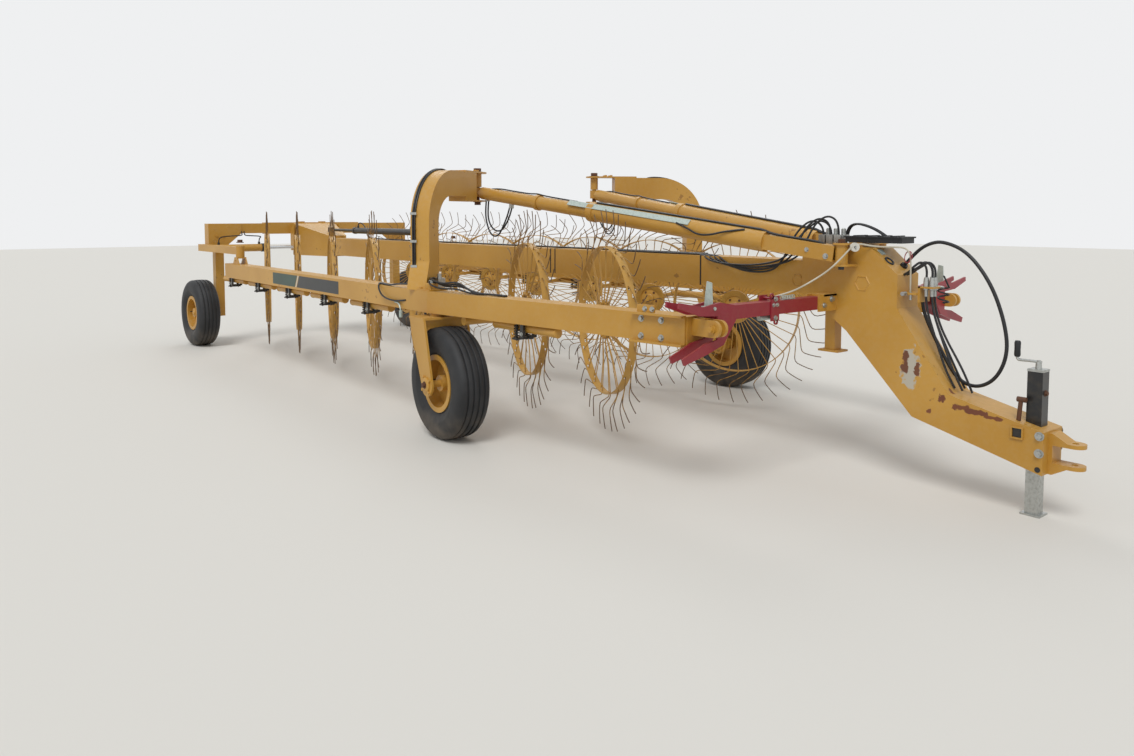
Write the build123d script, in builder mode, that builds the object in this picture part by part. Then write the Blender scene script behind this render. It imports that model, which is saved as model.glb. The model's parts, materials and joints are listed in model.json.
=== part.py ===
from build123d import *
import os
from math import atan2, cos, hypot, radians, sin, sqrt, tan

# Carted wheel rake, folded and parked on its jack, in millimetres.
# X runs forward to the hitch, Y to the machine's left and Z up from the ground.
# The origin is under the middle of the machine's length, at the floor.

os.makedirs("parts", exist_ok=True)

# Clearances
RUN_GAP = 0.3
SLIDE_GAP = 2.5
FREE_GAP = 5.0

# Overall places
REAR_X = -4790.0
CROSSBAR_X = -4450.0

# Tyres and rims
TYRE_DIAMETER = 780.0
TYRE_WIDTH = 250.0
RIM_DIAMETER = 400.0
RIM_WIDTH = 200.0
RIM_WALL = 10.0
RIM_DISC = 12.0
WHEEL_HUB_DIAMETER = 110.0
WHEEL_HUB_LENGTH = 150.0
AXLE_Z = TYRE_DIAMETER / 2
AXLE_X = REAR_X + TYRE_DIAMETER / 2
REAR_WHEEL_Y = 1430.0

# Main beam and rear block
BEAM_SIDE = 203.0
BEAM_WALL = 8.0
BEAM_BOTTOM_Z = 1065.0
BEAM_MID_Z = BEAM_BOTTOM_Z + BEAM_SIDE / 2
BEAM_TOP_Z = BEAM_BOTTOM_Z + BEAM_SIDE
BLOCK_LENGTH = 695.0
BLOCK_WIDTH = 560.0
BLOCK_WALL = 10.0
NECK_REAR_X = CROSSBAR_X + 7630.0

# Telescoping rear cross tube, legs and their cylinders
SLIDE_SIDE = 120.0
SLIDE_WALL = 8.0
SLEEVE_WALL = 10.0
SLEEVE_SIDE = SLIDE_SIDE + 2 * RUN_GAP + 2 * SLEEVE_WALL
SLEEVE_HALF = 620.0
CROSS_TOP_Z = 1445.0
CROSS_Z = CROSS_TOP_Z - SLIDE_SIDE / 2
SLIDE_END_Y = 1300.0
SLIDE_INNER_Y = 20.0
END_PLATE = 20.0
LEG_SIDE = 100.0
LEG_WALL = 8.0
LEG_PLATE = 22.0
LEG_Y = 1190.0
LEG_BOTTOM_Z = 330.0
REACH_SIDE = 80.0
BARREL_DIAMETER = 90.0
ROD_DIAMETER = 40.0
RAM_X = CROSSBAR_X + 150.0
RAM_Z = 1150.0
RAM_OUTER_Y = 1270.0
RAM_GLAND_Y = 690.0
EAR_Y = 300.0

# Rake arms
ARM_SIDE = 152.0
ARM_WALL = 6.0
ARM_TOP_Z = 1015.0
ARM_BOTTOM_Z = ARM_TOP_Z - ARM_SIDE
ARM_PIVOT_X = CROSSBAR_X + 1250.0
ARM_REAR_X = CROSSBAR_X + 980.0
ARM_REAR_Y = 1360.0
ARM_KINK_X = CROSSBAR_X + 5530.0
ARM_KINK_Y = 1480.0
ARM_FRONT_X = CROSSBAR_X + 7750.0
ARM_FRONT_Y = 1230.0
HEAD_RADIUS = 45.0
HEAD_BOTTOM_Z = ARM_TOP_Z + 75
REACH_Z = HEAD_BOTTOM_Z + 70
LUG_X = CROSSBAR_X + 7910.0
LUG_Z = 960.0
LUG_RADIUS = 45.0
LUG_HALF = 35.0
LUG_PIN_RADIUS = 22.0
LUG_PLATE = 20.0

# Casters under the arms' kinks
CASTER_X = CROSSBAR_X + 5565.0
CASTER_Y = 1480.0
CASTER_TRAIL = 150.0
CASTER_TOE = 4.0
FORK_HALF = 175.0
FORK_PLATE = 16.0
FORK_TOP_Z = 842.0
FORK_DEPTH = 222.0
FORK_END_RADIUS = 80.0

# Arches over the arms and the folding booms
ARCH_X = CROSSBAR_X + 5300.0
ARCH_Y = 1430.0
BOOM_PIN_X = CROSSBAR_X + 4810.0
BOOM_PIN_Y = 640.0
ARCH_SIDE = 150.0
ARCH_TOP_Z = 1888.0
ARCH_UNDER_Z = 1695.0
HEAD_PLATE = 12.0
HEAD_SPACER = 25.0
BOOM_FRONT_X = CROSSBAR_X + 7965.0
BOOM_FRONT_Y = 205.0
BOOM_LUG_Z = 1262.0
BOOM_EYE_HEIGHT = 112.0
BOOM_EYE_RADIUS = 38.0
BOOM_TUBE_DIAMETER = 130.0
BOOM_TUBE_WALL = 8.0
BOOM_OUTER_LENGTH = 1965.0
BOOM_BOX = 92.0
BOOM_BOX_LENGTH = 500.0
BOOM_BOX_START = 0.8 * BOOM_EYE_RADIUS
BOOM_NECK = 70.0
BOOM_NECK_RADIUS = 26.0
BOOM_ROD_DIAMETER = 100.0
BOOM_ROD_START = BOOM_BOX_LENGTH + END_PLATE + RUN_GAP
PIN_BOSS_HEIGHT = 74.0

# Hitch, jack and latch outriggers
NECK_HALF = 114.0
NECK_PLATE = 12.0
TONGUE_FRONT_X = CROSSBAR_X + 9080.0
HITCH_TIP_X = CROSSBAR_X + 9240.0
HITCH_PIN_X = CROSSBAR_X + 9190.0
HITCH_BORE_RADIUS = 16.0
HITCH_EAR = 20.0
HITCH_EAR_WIDTH = 100.0
HITCH_UPPER_Z = 390.0
HITCH_LOWER_Z = 280.0
JACK_X = CROSSBAR_X + 9000.0
JACK_TUBE = 76.0
JACK_WALL = 5.0
JACK_TOP_Z = 750.0
JACK_BOTTOM_Z = 240.0
JACK_LEG_TOP_Z = 480.0
JACK_FOOT = 10.0
LATCH_X = CROSSBAR_X + 7830.0
LATCH_Z = 1030.0
LATCH_SIDE = 75.0
LATCH_WALL = 6.0
LATCH_END_Y = 1110.0
HOOK_PLATE = 12.0

# Stand post, hose shelf and cover on the gooseneck, and the ram over the main beam
STAND_X = CROSSBAR_X + 7784.0
STAND_SIDE = 70.0
STAND_WALL = 5.0
STAND_FOOT_Z = 710.0
SHELF_LENGTH = 95.0
SHELF_WIDTH = 150.0
SHELF_TOP_Z = 1112.0
COVER_REAR_X = CROSSBAR_X + 7900.0
COVER_LENGTH = 365.0
COVER_WIDTH = 150.0
COVER_HEIGHT = 34.0
RAM_AXIS_Z = 1365.0
TOP_BARREL_DIAMETER = 70.0
TOP_ROD_DIAMETER = 35.0
TOP_BARREL_REAR_X = CROSSBAR_X + 1250.0
TOP_BARREL_LENGTH = 1400.0
TOP_ROD_REAR_X = CROSSBAR_X + 620.0
TOP_EAR = 30.0

# Channel brackets at the arms' front ends
CHANNEL_REAR_X = CROSSBAR_X + 7410.0
CHANNEL_LENGTH = 355.0
CHANNEL_HEIGHT = 165.0
CHANNEL_FLANGE = 45.0

# Cords
HOSE_DIAMETER = 20.0
ROPE_DIAMETER = 10.0

# Rake wheels
RAKE_RADIUS = 762.0
RAKE_RIM_RADIUS = 507.0
RAKE_RIM_WIDTH = 55.0
RAKE_RIM_WALL = 5.0
RAKE_TINE = 7.0
RAKE_TINES = 40
TINE_ELBOW = 580.0
TINE_LEAN = 182.0
RAKE_HUB_RADIUS = 112.0
RAKE_HUB_LENGTH = 60.0
RAKE_BOSS_RADIUS = 42.0
RAKE_Z = 830.0
RAKE_TURN = 21.5
CARRIER_TUBE = 60.0
CARRIER_LENGTH = 640.0
CARRIER_AXLE = 40.0
CLAMP_AHEAD = 300.0
CLAMP_WIDTH = 110.0
CLAMP_DEPTH = 90.0
CLAMP_BAR = 16.0

# Rake wheel places from the front: distance ahead of the cross tube, distance from the centreline,
# and how far inboard of the arm's middle the trailing arm lies
RAKE_PLACES = (
    (6440.0, 680.0, 0.0),
    (5520.0, 660.0, 280.0),
    (4400.0, 950.0, 0.0),
    (3540.0, 950.0, 0.0),
    (2680.0, 950.0, 0.0),
    (1820.0, 950.0, 0.0),
    (960.0, 950.0, 0.0),
)


def save(part, name):
    """Labels one finished piece and writes its STEP file."""
    part.label = name
    export_step(part, f"parts/{name}.step")


def save_pair(part, name):
    """Writes a right-hand piece and its mirror image on the left."""
    save(part, f"{name}_right")
    save(mirror(part, about=Plane.XZ), f"{name}_left")


def box_tube(start, direction, width, height, wall, length, upright=(0, 0, 1)):
    """Adds a rectangular tube that starts at a point and runs along a direction."""
    run = Vector(*direction).normalized()
    across = Vector(*upright).cross(run).normalized()
    with BuildSketch(Plane(origin=start, x_dir=across, z_dir=run)) as section:
        Rectangle(width, height)
        Rectangle(width - 2 * wall, height - 2 * wall, mode=Mode.SUBTRACT)
    extrude(section.sketch, amount=length)


def round_tube(start, direction, diameter, wall, length):
    """Adds a round tube that starts at a point and runs along a direction."""
    with BuildSketch(Plane(origin=start, z_dir=direction)) as section:
        Circle(diameter / 2)
        Circle(diameter / 2 - wall, mode=Mode.SUBTRACT)
    extrude(section.sketch, amount=length)


def round_bar(start, direction, diameter, length):
    """Adds a round bar or disc that starts at a point and runs along a direction."""
    with BuildSketch(Plane(origin=start, z_dir=direction)) as section:
        Circle(diameter / 2)
    extrude(section.sketch, amount=length)


def plate(plane, corners, thickness):
    """Adds a flat plate with straight edges, drawn on a plane."""
    with BuildSketch(plane) as section:
        with BuildLine():
            Polyline(*corners, close=True)
        make_face()
    extrude(section.sketch, amount=thickness)


def strip(points, half):
    """The corners of a strip of even width along a bent line, mitred at its bends."""
    left = []
    right = []
    for index, (x, y) in enumerate(points):
        before = points[max(index - 1, 0)]
        after = points[min(index + 1, len(points) - 1)]
        runs = [(x - before[0], y - before[1]), (after[0] - x, after[1] - y)]
        angles = [atan2(dy, dx) for dx, dy in runs if hypot(dx, dy) > 0]
        middle = (angles[0] + angles[-1]) / 2
        reach = half / cos((angles[-1] - angles[0]) / 2)
        left.append((x - reach * sin(middle), y + reach * cos(middle)))
        right.append((x + reach * sin(middle), y - reach * cos(middle)))
    return left + right[::-1]


def cord(points, diameter):
    """Adds a cord along straight runs that arcs join; prints its tightest arc."""
    corners = [Vector(*point) for point in points]
    runs = [(b - a) for a, b in zip(corners, corners[1:])]
    radii = []
    for before, after in zip(runs, runs[1:]):
        half_turn = radians(before.get_angle(after)) / 2
        radii.append(0.45 * min(before.length, after.length) / tan(half_turn))
    with BuildLine() as route:
        FilletPolyline(*corners, radius=radii)
    with BuildSketch(Plane(origin=corners[0], z_dir=runs[0])) as section:
        Circle(diameter / 2)
    sweep(section.sketch, path=route.line)
    print("cord", "tightest", round(min(radii)), "length", round(sum(edge.length for edge in route.edges())))


# Rear block: a wedge that joins the cross tube to the main beam
BLOCK_REAR_X = CROSSBAR_X + SLEEVE_SIDE / 2
BLOCK_FRONT_X = BLOCK_REAR_X + BLOCK_LENGTH
BLOCK_LOW_Z = BEAM_BOTTOM_Z - 2 * BLOCK_WALL
BLOCK_TOP_Z = CROSS_TOP_Z
BLOCK_NOSE_Z = BEAM_TOP_Z + 3 * BLOCK_WALL
with BuildPart() as rear_block:
    with BuildSketch(Plane.YZ.offset(BLOCK_REAR_X)):
        with Locations((0, (BLOCK_LOW_Z + BLOCK_TOP_Z) / 2)):
            Rectangle(BLOCK_WIDTH, BLOCK_TOP_Z - BLOCK_LOW_Z)
    with BuildSketch(Plane.YZ.offset(BLOCK_FRONT_X)):
        with Locations((0, (BLOCK_LOW_Z + BLOCK_NOSE_Z) / 2)):
            Rectangle(2 * NECK_HALF, BLOCK_NOSE_Z - BLOCK_LOW_Z)
    loft()
    offset(amount=-BLOCK_WALL, openings=rear_block.faces().sort_by(Axis.X)[0])
save(rear_block.part, "rear_block")

# Main beam
with BuildPart() as main_beam:
    with BuildSketch(Plane.YZ.offset(BLOCK_FRONT_X)):
        with Locations((0, BEAM_MID_Z)):
            Rectangle(BEAM_SIDE, BEAM_SIDE)
            Rectangle(BEAM_SIDE - 2 * BEAM_WALL, BEAM_SIDE - 2 * BEAM_WALL, mode=Mode.SUBTRACT)
    extrude(amount=NECK_REAR_X - BLOCK_FRONT_X)
save(main_beam.part, "main_beam")

# Cross sleeve with the ears that the width cylinders pull on
with BuildPart() as cross_sleeve:
    with BuildSketch(Plane.XZ.offset(-SLEEVE_HALF)):
        with Locations((CROSSBAR_X, CROSS_Z)):
            Rectangle(SLEEVE_SIDE, SLEEVE_SIDE)
            Rectangle(SLEEVE_SIDE - 2 * SLEEVE_WALL, SLEEVE_SIDE - 2 * SLEEVE_WALL, mode=Mode.SUBTRACT)
    extrude(amount=2 * SLEEVE_HALF)
    for side in (-1, 1):
        with BuildSketch(Plane.XZ.offset(side * EAR_Y)):
            with Locations((BLOCK_REAR_X + 50, (RAM_Z + CROSS_Z) / 2)):
                Rectangle(100, CROSS_Z - RAM_Z + 90)
        extrude(amount=side * HEAD_PLATE)
save(cross_sleeve.part, "cross_sleeve")

# Gooseneck, from its rear edge up over the crest and down to the tongue:
# distance ahead of the cross tube, height
CREST_Z = 1360.0
CREST_FRONT_X = CROSSBAR_X + 8100.0
BROW_X = CROSSBAR_X + 8270.0
BROW_Z = 1210.0
NECK_OUTLINE = (
    (7630.0, 1065.0),
    (7630.0, 1290.0),
    (7700.0, CREST_Z),
    (8100.0, CREST_Z),
    (8270.0, 1210.0),
    (8270.0, 1020.0),
    (8585.0, 577.0),
    (9080.0, 460.0),
    (9080.0, 240.0),
    (8376.0, 420.0),
    (8115.0, 690.0),
    (7950.0, 860.0),
    (7800.0, 970.0),
)
neck_points = [(CROSSBAR_X + x, z) for x, z in NECK_OUTLINE]
JACK_HOLE = JACK_TUBE + 2 * RUN_GAP
with BuildPart() as gooseneck:
    with BuildSketch(Plane.XZ.offset(-NECK_HALF)) as neck_side:
        with BuildLine():
            Polyline(*neck_points, close=True)
        make_face()
    extrude(amount=2 * NECK_HALF)
    with BuildSketch(Plane.XZ.offset(-NECK_HALF + NECK_PLATE)):
        add(neck_side.sketch)
        offset(amount=-NECK_PLATE, mode=Mode.REPLACE)
    extrude(amount=2 * (NECK_HALF - NECK_PLATE), mode=Mode.SUBTRACT)
    with BuildSketch(Plane.XY):
        with Locations((JACK_X, 0)):
            Rectangle(JACK_HOLE, JACK_HOLE)
    extrude(amount=JACK_TOP_Z, mode=Mode.SUBTRACT)
    with BuildSketch(Plane.XY.offset(STAND_FOOT_Z)):
        with Locations((STAND_X, 0)):
            Rectangle(2 * STAND_SIDE, STAND_SIDE + 40)
    extrude(amount=HEAD_PLATE)
    box_tube((STAND_X, 0, STAND_FOOT_Z + HEAD_PLATE), (0, 0, 1), STAND_SIDE, STAND_SIDE, STAND_WALL,
             BEAM_BOTTOM_Z - 65 - STAND_FOOT_Z - HEAD_PLATE, (1, 0, 0))
    with BuildSketch(Plane.XY.offset(SHELF_TOP_Z - HEAD_PLATE)):
        with Locations((BROW_X + SHELF_LENGTH / 2, 0)):
            Rectangle(SHELF_LENGTH, SHELF_WIDTH)
    extrude(amount=HEAD_PLATE)
save(gooseneck.part, "gooseneck")

# Boom lugs: a plate on each flank and one across the crest on its riser
LUG_TOP_Z = BOOM_LUG_Z + BOOM_EYE_HEIGHT + 2 * RUN_GAP + HEAD_PLATE
with BuildPart() as boom_lugs:
    for side in (-1, 1):
        for low in (BOOM_LUG_Z - HEAD_PLATE, LUG_TOP_Z - HEAD_PLATE):
            with BuildSketch(Plane.XY.offset(low)):
                with Locations((BOOM_FRONT_X, side * BOOM_FRONT_Y)):
                    Circle(BOOM_EYE_RADIUS + HEAD_PLATE)
                with Locations((BOOM_FRONT_X, side * (BOOM_FRONT_Y + NECK_HALF) / 2)):
                    Rectangle(2 * (BOOM_EYE_RADIUS + HEAD_PLATE), BOOM_FRONT_Y - NECK_HALF)
            extrude(amount=HEAD_PLATE)
    with BuildSketch(Plane.XY.offset(CREST_Z)):
        with Locations((BOOM_FRONT_X, 0)):
            Rectangle(2 * (BOOM_EYE_RADIUS + HEAD_PLATE), 2 * NECK_HALF)
    extrude(amount=LUG_TOP_Z - CREST_Z)
save(boom_lugs.part, "boom_lugs")

# Hitch clevis: a front plate and two ears with one pin hole
with BuildPart() as hitch_clevis:
    with BuildSketch(Plane.XZ.offset(-HITCH_EAR_WIDTH / 2)):
        with BuildLine():
            Polyline(
                (TONGUE_FRONT_X, HITCH_LOWER_Z - 40),
                (TONGUE_FRONT_X + HITCH_EAR, HITCH_LOWER_Z - 40),
                (HITCH_PIN_X - 20, HITCH_LOWER_Z),
                (HITCH_PIN_X, HITCH_LOWER_Z),
                (HITCH_PIN_X, HITCH_LOWER_Z + HITCH_EAR),
                (TONGUE_FRONT_X + HITCH_EAR, HITCH_LOWER_Z + HITCH_EAR),
                (TONGUE_FRONT_X + HITCH_EAR, HITCH_UPPER_Z),
                (HITCH_PIN_X, HITCH_UPPER_Z),
                (HITCH_PIN_X, HITCH_UPPER_Z + HITCH_EAR),
                (HITCH_PIN_X - 20, HITCH_UPPER_Z + HITCH_EAR),
                (TONGUE_FRONT_X + HITCH_EAR, HITCH_UPPER_Z + 3 * HITCH_EAR),
                (TONGUE_FRONT_X, HITCH_UPPER_Z + 3 * HITCH_EAR),
                close=True,
            )
        make_face()
    extrude(amount=HITCH_EAR_WIDTH)
    for low in (HITCH_LOWER_Z, HITCH_UPPER_Z):
        with BuildSketch(Plane.XY.offset(low)):
            with Locations((HITCH_PIN_X, 0)):
                Circle(HITCH_TIP_X - HITCH_PIN_X)
        extrude(amount=HITCH_EAR)
    with BuildSketch(Plane.XY):
        with Locations((HITCH_PIN_X, 0)):
            Circle(HITCH_BORE_RADIUS)
    extrude(amount=HITCH_UPPER_Z + 2 * HITCH_EAR, mode=Mode.SUBTRACT)
save(hitch_clevis.part, "hitch_clevis")

# Jack: outer tube with its cap, the leg inside it and the crank
with BuildPart() as jack_housing:
    box_tube((JACK_X, 0, JACK_BOTTOM_Z), (0, 0, 1), JACK_TUBE, JACK_TUBE, JACK_WALL, JACK_TOP_Z - JACK_BOTTOM_Z,
             (1, 0, 0))
save(jack_housing.part, "jack_housing")
JACK_LEG_SIDE = JACK_TUBE - 2 * JACK_WALL - 2 * RUN_GAP
with BuildPart() as jack_leg:
    with BuildSketch(Plane.XY):
        with Locations((JACK_X, 0)):
            Rectangle(JACK_LEG_SIDE + 34, JACK_LEG_SIDE + 34)
    extrude(amount=JACK_FOOT)
    with BuildSketch(Plane.XY.offset(JACK_FOOT)):
        with Locations((JACK_X, 0)):
            Rectangle(JACK_LEG_SIDE, JACK_LEG_SIDE)
    extrude(amount=JACK_LEG_TOP_Z - JACK_FOOT)
save(jack_leg.part, "jack_leg")
with BuildPart() as jack_crank:
    with BuildSketch(Plane.XY.offset(JACK_TOP_Z)):
        with Locations((JACK_X, 0)):
            Rectangle(JACK_TUBE, JACK_TUBE)
    extrude(amount=HEAD_PLATE)
    with BuildSketch(Plane.XY.offset(JACK_TOP_Z + HEAD_PLATE)):
        with Locations((JACK_X, 0)):
            Circle(9)
    extrude(amount=35)
    with BuildSketch(Plane.YZ.offset(JACK_X - 120)):
        with Locations((0, JACK_TOP_Z + HEAD_PLATE + 35)):
            Rectangle(24, 12)
    extrude(amount=135)
    with BuildSketch(Plane.XY.offset(JACK_TOP_Z + HEAD_PLATE + 35)):
        with Locations((JACK_X - 108, 0)):
            Circle(15)
    extrude(amount=100)
save(jack_crank.part, "jack_crank")

# Latch outrigger on the right: the bar and two hook plates that open outwards
# Hook plate corners from the bar's end: distance from the centreline, height above the bar's middle
HOOK_OUTLINE = (
    (1040.0, 38.0),
    (1170.0, 62.0),
    (1300.0, 45.0),
    (1480.0, 78.0),
    (1485.0, 50.0),
    (1330.0, 0.0),
    (1190.0, -10.0),
    (1190.0, -135.0),
    (1290.0, -150.0),
    (1455.0, -212.0),
    (1440.0, -245.0),
    (1270.0, -205.0),
    (1140.0, -165.0),
    (1040.0, -38.0),
)
with BuildPart() as latch_outrigger:
    with BuildSketch(Plane.XZ.offset(NECK_HALF)):
        with Locations((LATCH_X, LATCH_Z)):
            Rectangle(LATCH_SIDE, LATCH_SIDE)
            Rectangle(LATCH_SIDE - 2 * LATCH_WALL, LATCH_SIDE - 2 * LATCH_WALL, mode=Mode.SUBTRACT)
    extrude(amount=LATCH_END_Y - NECK_HALF)
    for face_x in (LATCH_X - LATCH_SIDE / 2 - HOOK_PLATE, LATCH_X + LATCH_SIDE / 2):
        with BuildSketch(Plane.YZ.offset(face_x)):
            with BuildLine():
                Polyline(*[(-y, LATCH_Z + z) for y, z in HOOK_OUTLINE], close=True)
            make_face()
        extrude(amount=HOOK_PLATE)
save_pair(latch_outrigger.part, "latch_outrigger")

# Rear slide on the right: inner cross tube, end plate, leg, stub axle and the reach tube to the arm's pivot
with BuildPart() as rear_slide:
    box_tube((CROSSBAR_X, -SLIDE_INNER_Y, CROSS_Z), (0, -1, 0), SLIDE_SIDE, SLIDE_SIDE, SLIDE_WALL,
             SLIDE_END_Y - SLIDE_INNER_Y)
    box_tube((CROSSBAR_X, -LEG_Y, LEG_BOTTOM_Z), (0, 0, 1), LEG_SIDE, LEG_SIDE, LEG_WALL,
             CROSS_Z - SLIDE_SIDE / 2 - LEG_BOTTOM_Z, (1, 0, 0))
    with BuildSketch(Plane.XZ.offset(SLIDE_END_Y)):
        with Locations((CROSSBAR_X, (CROSS_TOP_Z + REACH_Z - REACH_SIDE / 2) / 2)):
            Rectangle(SLEEVE_SIDE, CROSS_TOP_Z - REACH_Z + REACH_SIDE / 2)
    extrude(amount=END_PLATE)
    plate(
        Plane.YZ.offset(CROSSBAR_X + LEG_SIDE / 2),
        [
            (-SLIDE_END_Y, CROSS_TOP_Z),
            (-SLIDE_END_Y + 370, CROSS_TOP_Z),
            (-SLIDE_END_Y + 370, CROSS_TOP_Z - SLIDE_SIDE),
            (-SLIDE_END_Y + 210, REACH_Z + 30),
            (-SLIDE_END_Y + 60, REACH_Z - REACH_SIDE / 2),
            (-SLIDE_END_Y, REACH_Z - REACH_SIDE / 2),
        ],
        LEG_PLATE,
    )
    with BuildSketch(Plane.XZ.offset(LEG_Y + LEG_SIDE / 2)):
        with Locations((CROSSBAR_X, REACH_Z)):
            Rectangle(LEG_SIDE, REACH_SIDE)
    extrude(amount=SLIDE_END_Y - LEG_Y - LEG_SIDE / 2)
    box_tube((CROSSBAR_X - SLEEVE_SIDE / 2, -SLIDE_END_Y - END_PLATE - REACH_SIDE / 2, REACH_Z),
             (1, 0, 0), REACH_SIDE, REACH_SIDE, LEG_WALL,
             ARM_PIVOT_X - CROSSBAR_X + SLEEVE_SIDE / 2)
    with BuildSketch(Plane.XY.offset(HEAD_BOTTOM_Z)):
        with Locations((ARM_PIVOT_X, -ARM_REAR_Y)):
            Circle(HEAD_RADIUS)
    extrude(amount=REACH_Z + REACH_SIDE / 2 + HEAD_PLATE - HEAD_BOTTOM_Z)
    with BuildSketch(Plane.XZ.offset(LEG_Y)):
        with Locations((AXLE_X, AXLE_Z)):
            Circle(WHEEL_HUB_DIAMETER / 2 - 20)
    extrude(amount=REAR_WHEEL_Y - WHEEL_HUB_LENGTH / 2 - RUN_GAP - LEG_Y)
save_pair(rear_slide.part, "rear_slide")

# Width cylinder: the barrel rides with the leg, the rod is held by the sleeve's ear
with BuildPart() as ram_barrel:
    round_tube((RAM_X, -RAM_GLAND_Y, RAM_Z), (0, -1, 0), BARREL_DIAMETER,
               (BARREL_DIAMETER - ROD_DIAMETER) / 2 - SLIDE_GAP, RAM_OUTER_Y - RAM_GLAND_Y)
    with BuildSketch(Plane.XZ.offset(RAM_OUTER_Y)):
        with Locations((RAM_X, RAM_Z)):
            Circle(BARREL_DIAMETER / 2)
        with Locations(((RAM_X + CROSSBAR_X + LEG_SIDE / 2 + LEG_PLATE) / 2, RAM_Z)):
            Rectangle(RAM_X - CROSSBAR_X - LEG_SIDE / 2 - LEG_PLATE, BARREL_DIAMETER / 2)
    extrude(amount=END_PLATE)
save_pair(ram_barrel.part, "ram_barrel")
with BuildPart() as ram_rod:
    with BuildSketch(Plane.XZ.offset(EAR_Y + HEAD_PLATE)):
        with Locations((RAM_X, RAM_Z)):
            Circle(ROD_DIAMETER / 2)
    extrude(amount=RAM_OUTER_Y - RUN_GAP - EAR_Y - HEAD_PLATE)
save_pair(ram_rod.part, "ram_rod")


def road_wheel(centre, axis):
    """The rim and the tyre of a road wheel about an axis through its centre."""
    half = RIM_WIDTH / 2
    flange = RIM_DIAMETER / 2
    bed = flange - 25
    hub = WHEEL_HUB_DIAMETER / 2
    tread = TYRE_DIAMETER / 2
    shoulder = TYRE_WIDTH / 2
    plane = Plane(origin=centre, x_dir=(0, 0, 1), z_dir=Vector(0, 0, 1).cross(Vector(*axis)))
    turn = Axis(centre, axis)
    with BuildPart() as rim:
        with BuildSketch(plane):
            with BuildLine():
                Polyline(
                    (0, -WHEEL_HUB_LENGTH / 2),
                    (hub, -WHEEL_HUB_LENGTH / 2),
                    (hub, -RIM_DISC),
                    (bed - RIM_WALL, -RIM_DISC),
                    (bed - RIM_WALL, -half),
                    (flange, -half),
                    (flange, -half + RIM_WALL),
                    (bed, -half + RIM_WALL),
                    (bed, half - RIM_WALL),
                    (flange, half - RIM_WALL),
                    (flange, half),
                    (bed - RIM_WALL, half),
                    (bed - RIM_WALL, 0),
                    (hub, 0),
                    (hub, WHEEL_HUB_LENGTH / 2),
                    (0, WHEEL_HUB_LENGTH / 2),
                    close=True,
                )
            make_face()
        revolve(axis=turn)
    with BuildPart() as tyre:
        with BuildSketch(plane):
            with BuildLine():
                Polyline(
                    (bed + RUN_GAP, -half + RIM_WALL + RUN_GAP),
                    (flange + 20, -half + RIM_WALL + RUN_GAP),
                    (flange + 75, -shoulder),
                    (tread - 65, -shoulder),
                    (tread - 15, -shoulder + 25),
                    (tread, -shoulder + 70),
                    (tread, shoulder - 70),
                    (tread - 15, shoulder - 25),
                    (tread - 65, shoulder),
                    (flange + 75, shoulder),
                    (flange + 20, half - RIM_WALL - RUN_GAP),
                    (bed + RUN_GAP, half - RIM_WALL - RUN_GAP),
                    close=True,
                )
            make_face()
        revolve(axis=turn)
    return rim.part, tyre.part


rear_rim, rear_tyre = road_wheel((AXLE_X, -REAR_WHEEL_Y, AXLE_Z), (0, 1, 0))
save_pair(rear_rim, "rear_rim")
save_pair(rear_tyre, "rear_tyre")

# Rake arm on the right: the bent beam, its rear bracket and its front lugs
arm_line = ((ARM_REAR_X, -ARM_REAR_Y), (ARM_KINK_X, -ARM_KINK_Y), (ARM_FRONT_X, -ARM_FRONT_Y))
with BuildPart() as arm_beam:
    with BuildSketch(Plane.XY.offset(ARM_BOTTOM_Z)):
        with BuildLine():
            Polyline(*strip(arm_line, ARM_SIDE / 2), close=True)
        make_face()
    extrude(amount=ARM_SIDE)
    offset(amount=-ARM_WALL, openings=arm_beam.faces().sort_by(Axis.X)[-1])
save_pair(arm_beam.part, "arm_beam")
BRACKET_HALF = 50.0
BRACKET_TOP_Z = HEAD_BOTTOM_Z - RUN_GAP
arm_front = Vector(ARM_FRONT_X, -ARM_FRONT_Y, (ARM_TOP_Z + ARM_BOTTOM_Z) / 2)
arm_front_run = Vector(ARM_FRONT_X - ARM_KINK_X, ARM_KINK_Y - ARM_FRONT_Y, 0).normalized()
arm_outward = arm_front_run.cross(Vector(0, 0, 1))
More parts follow.
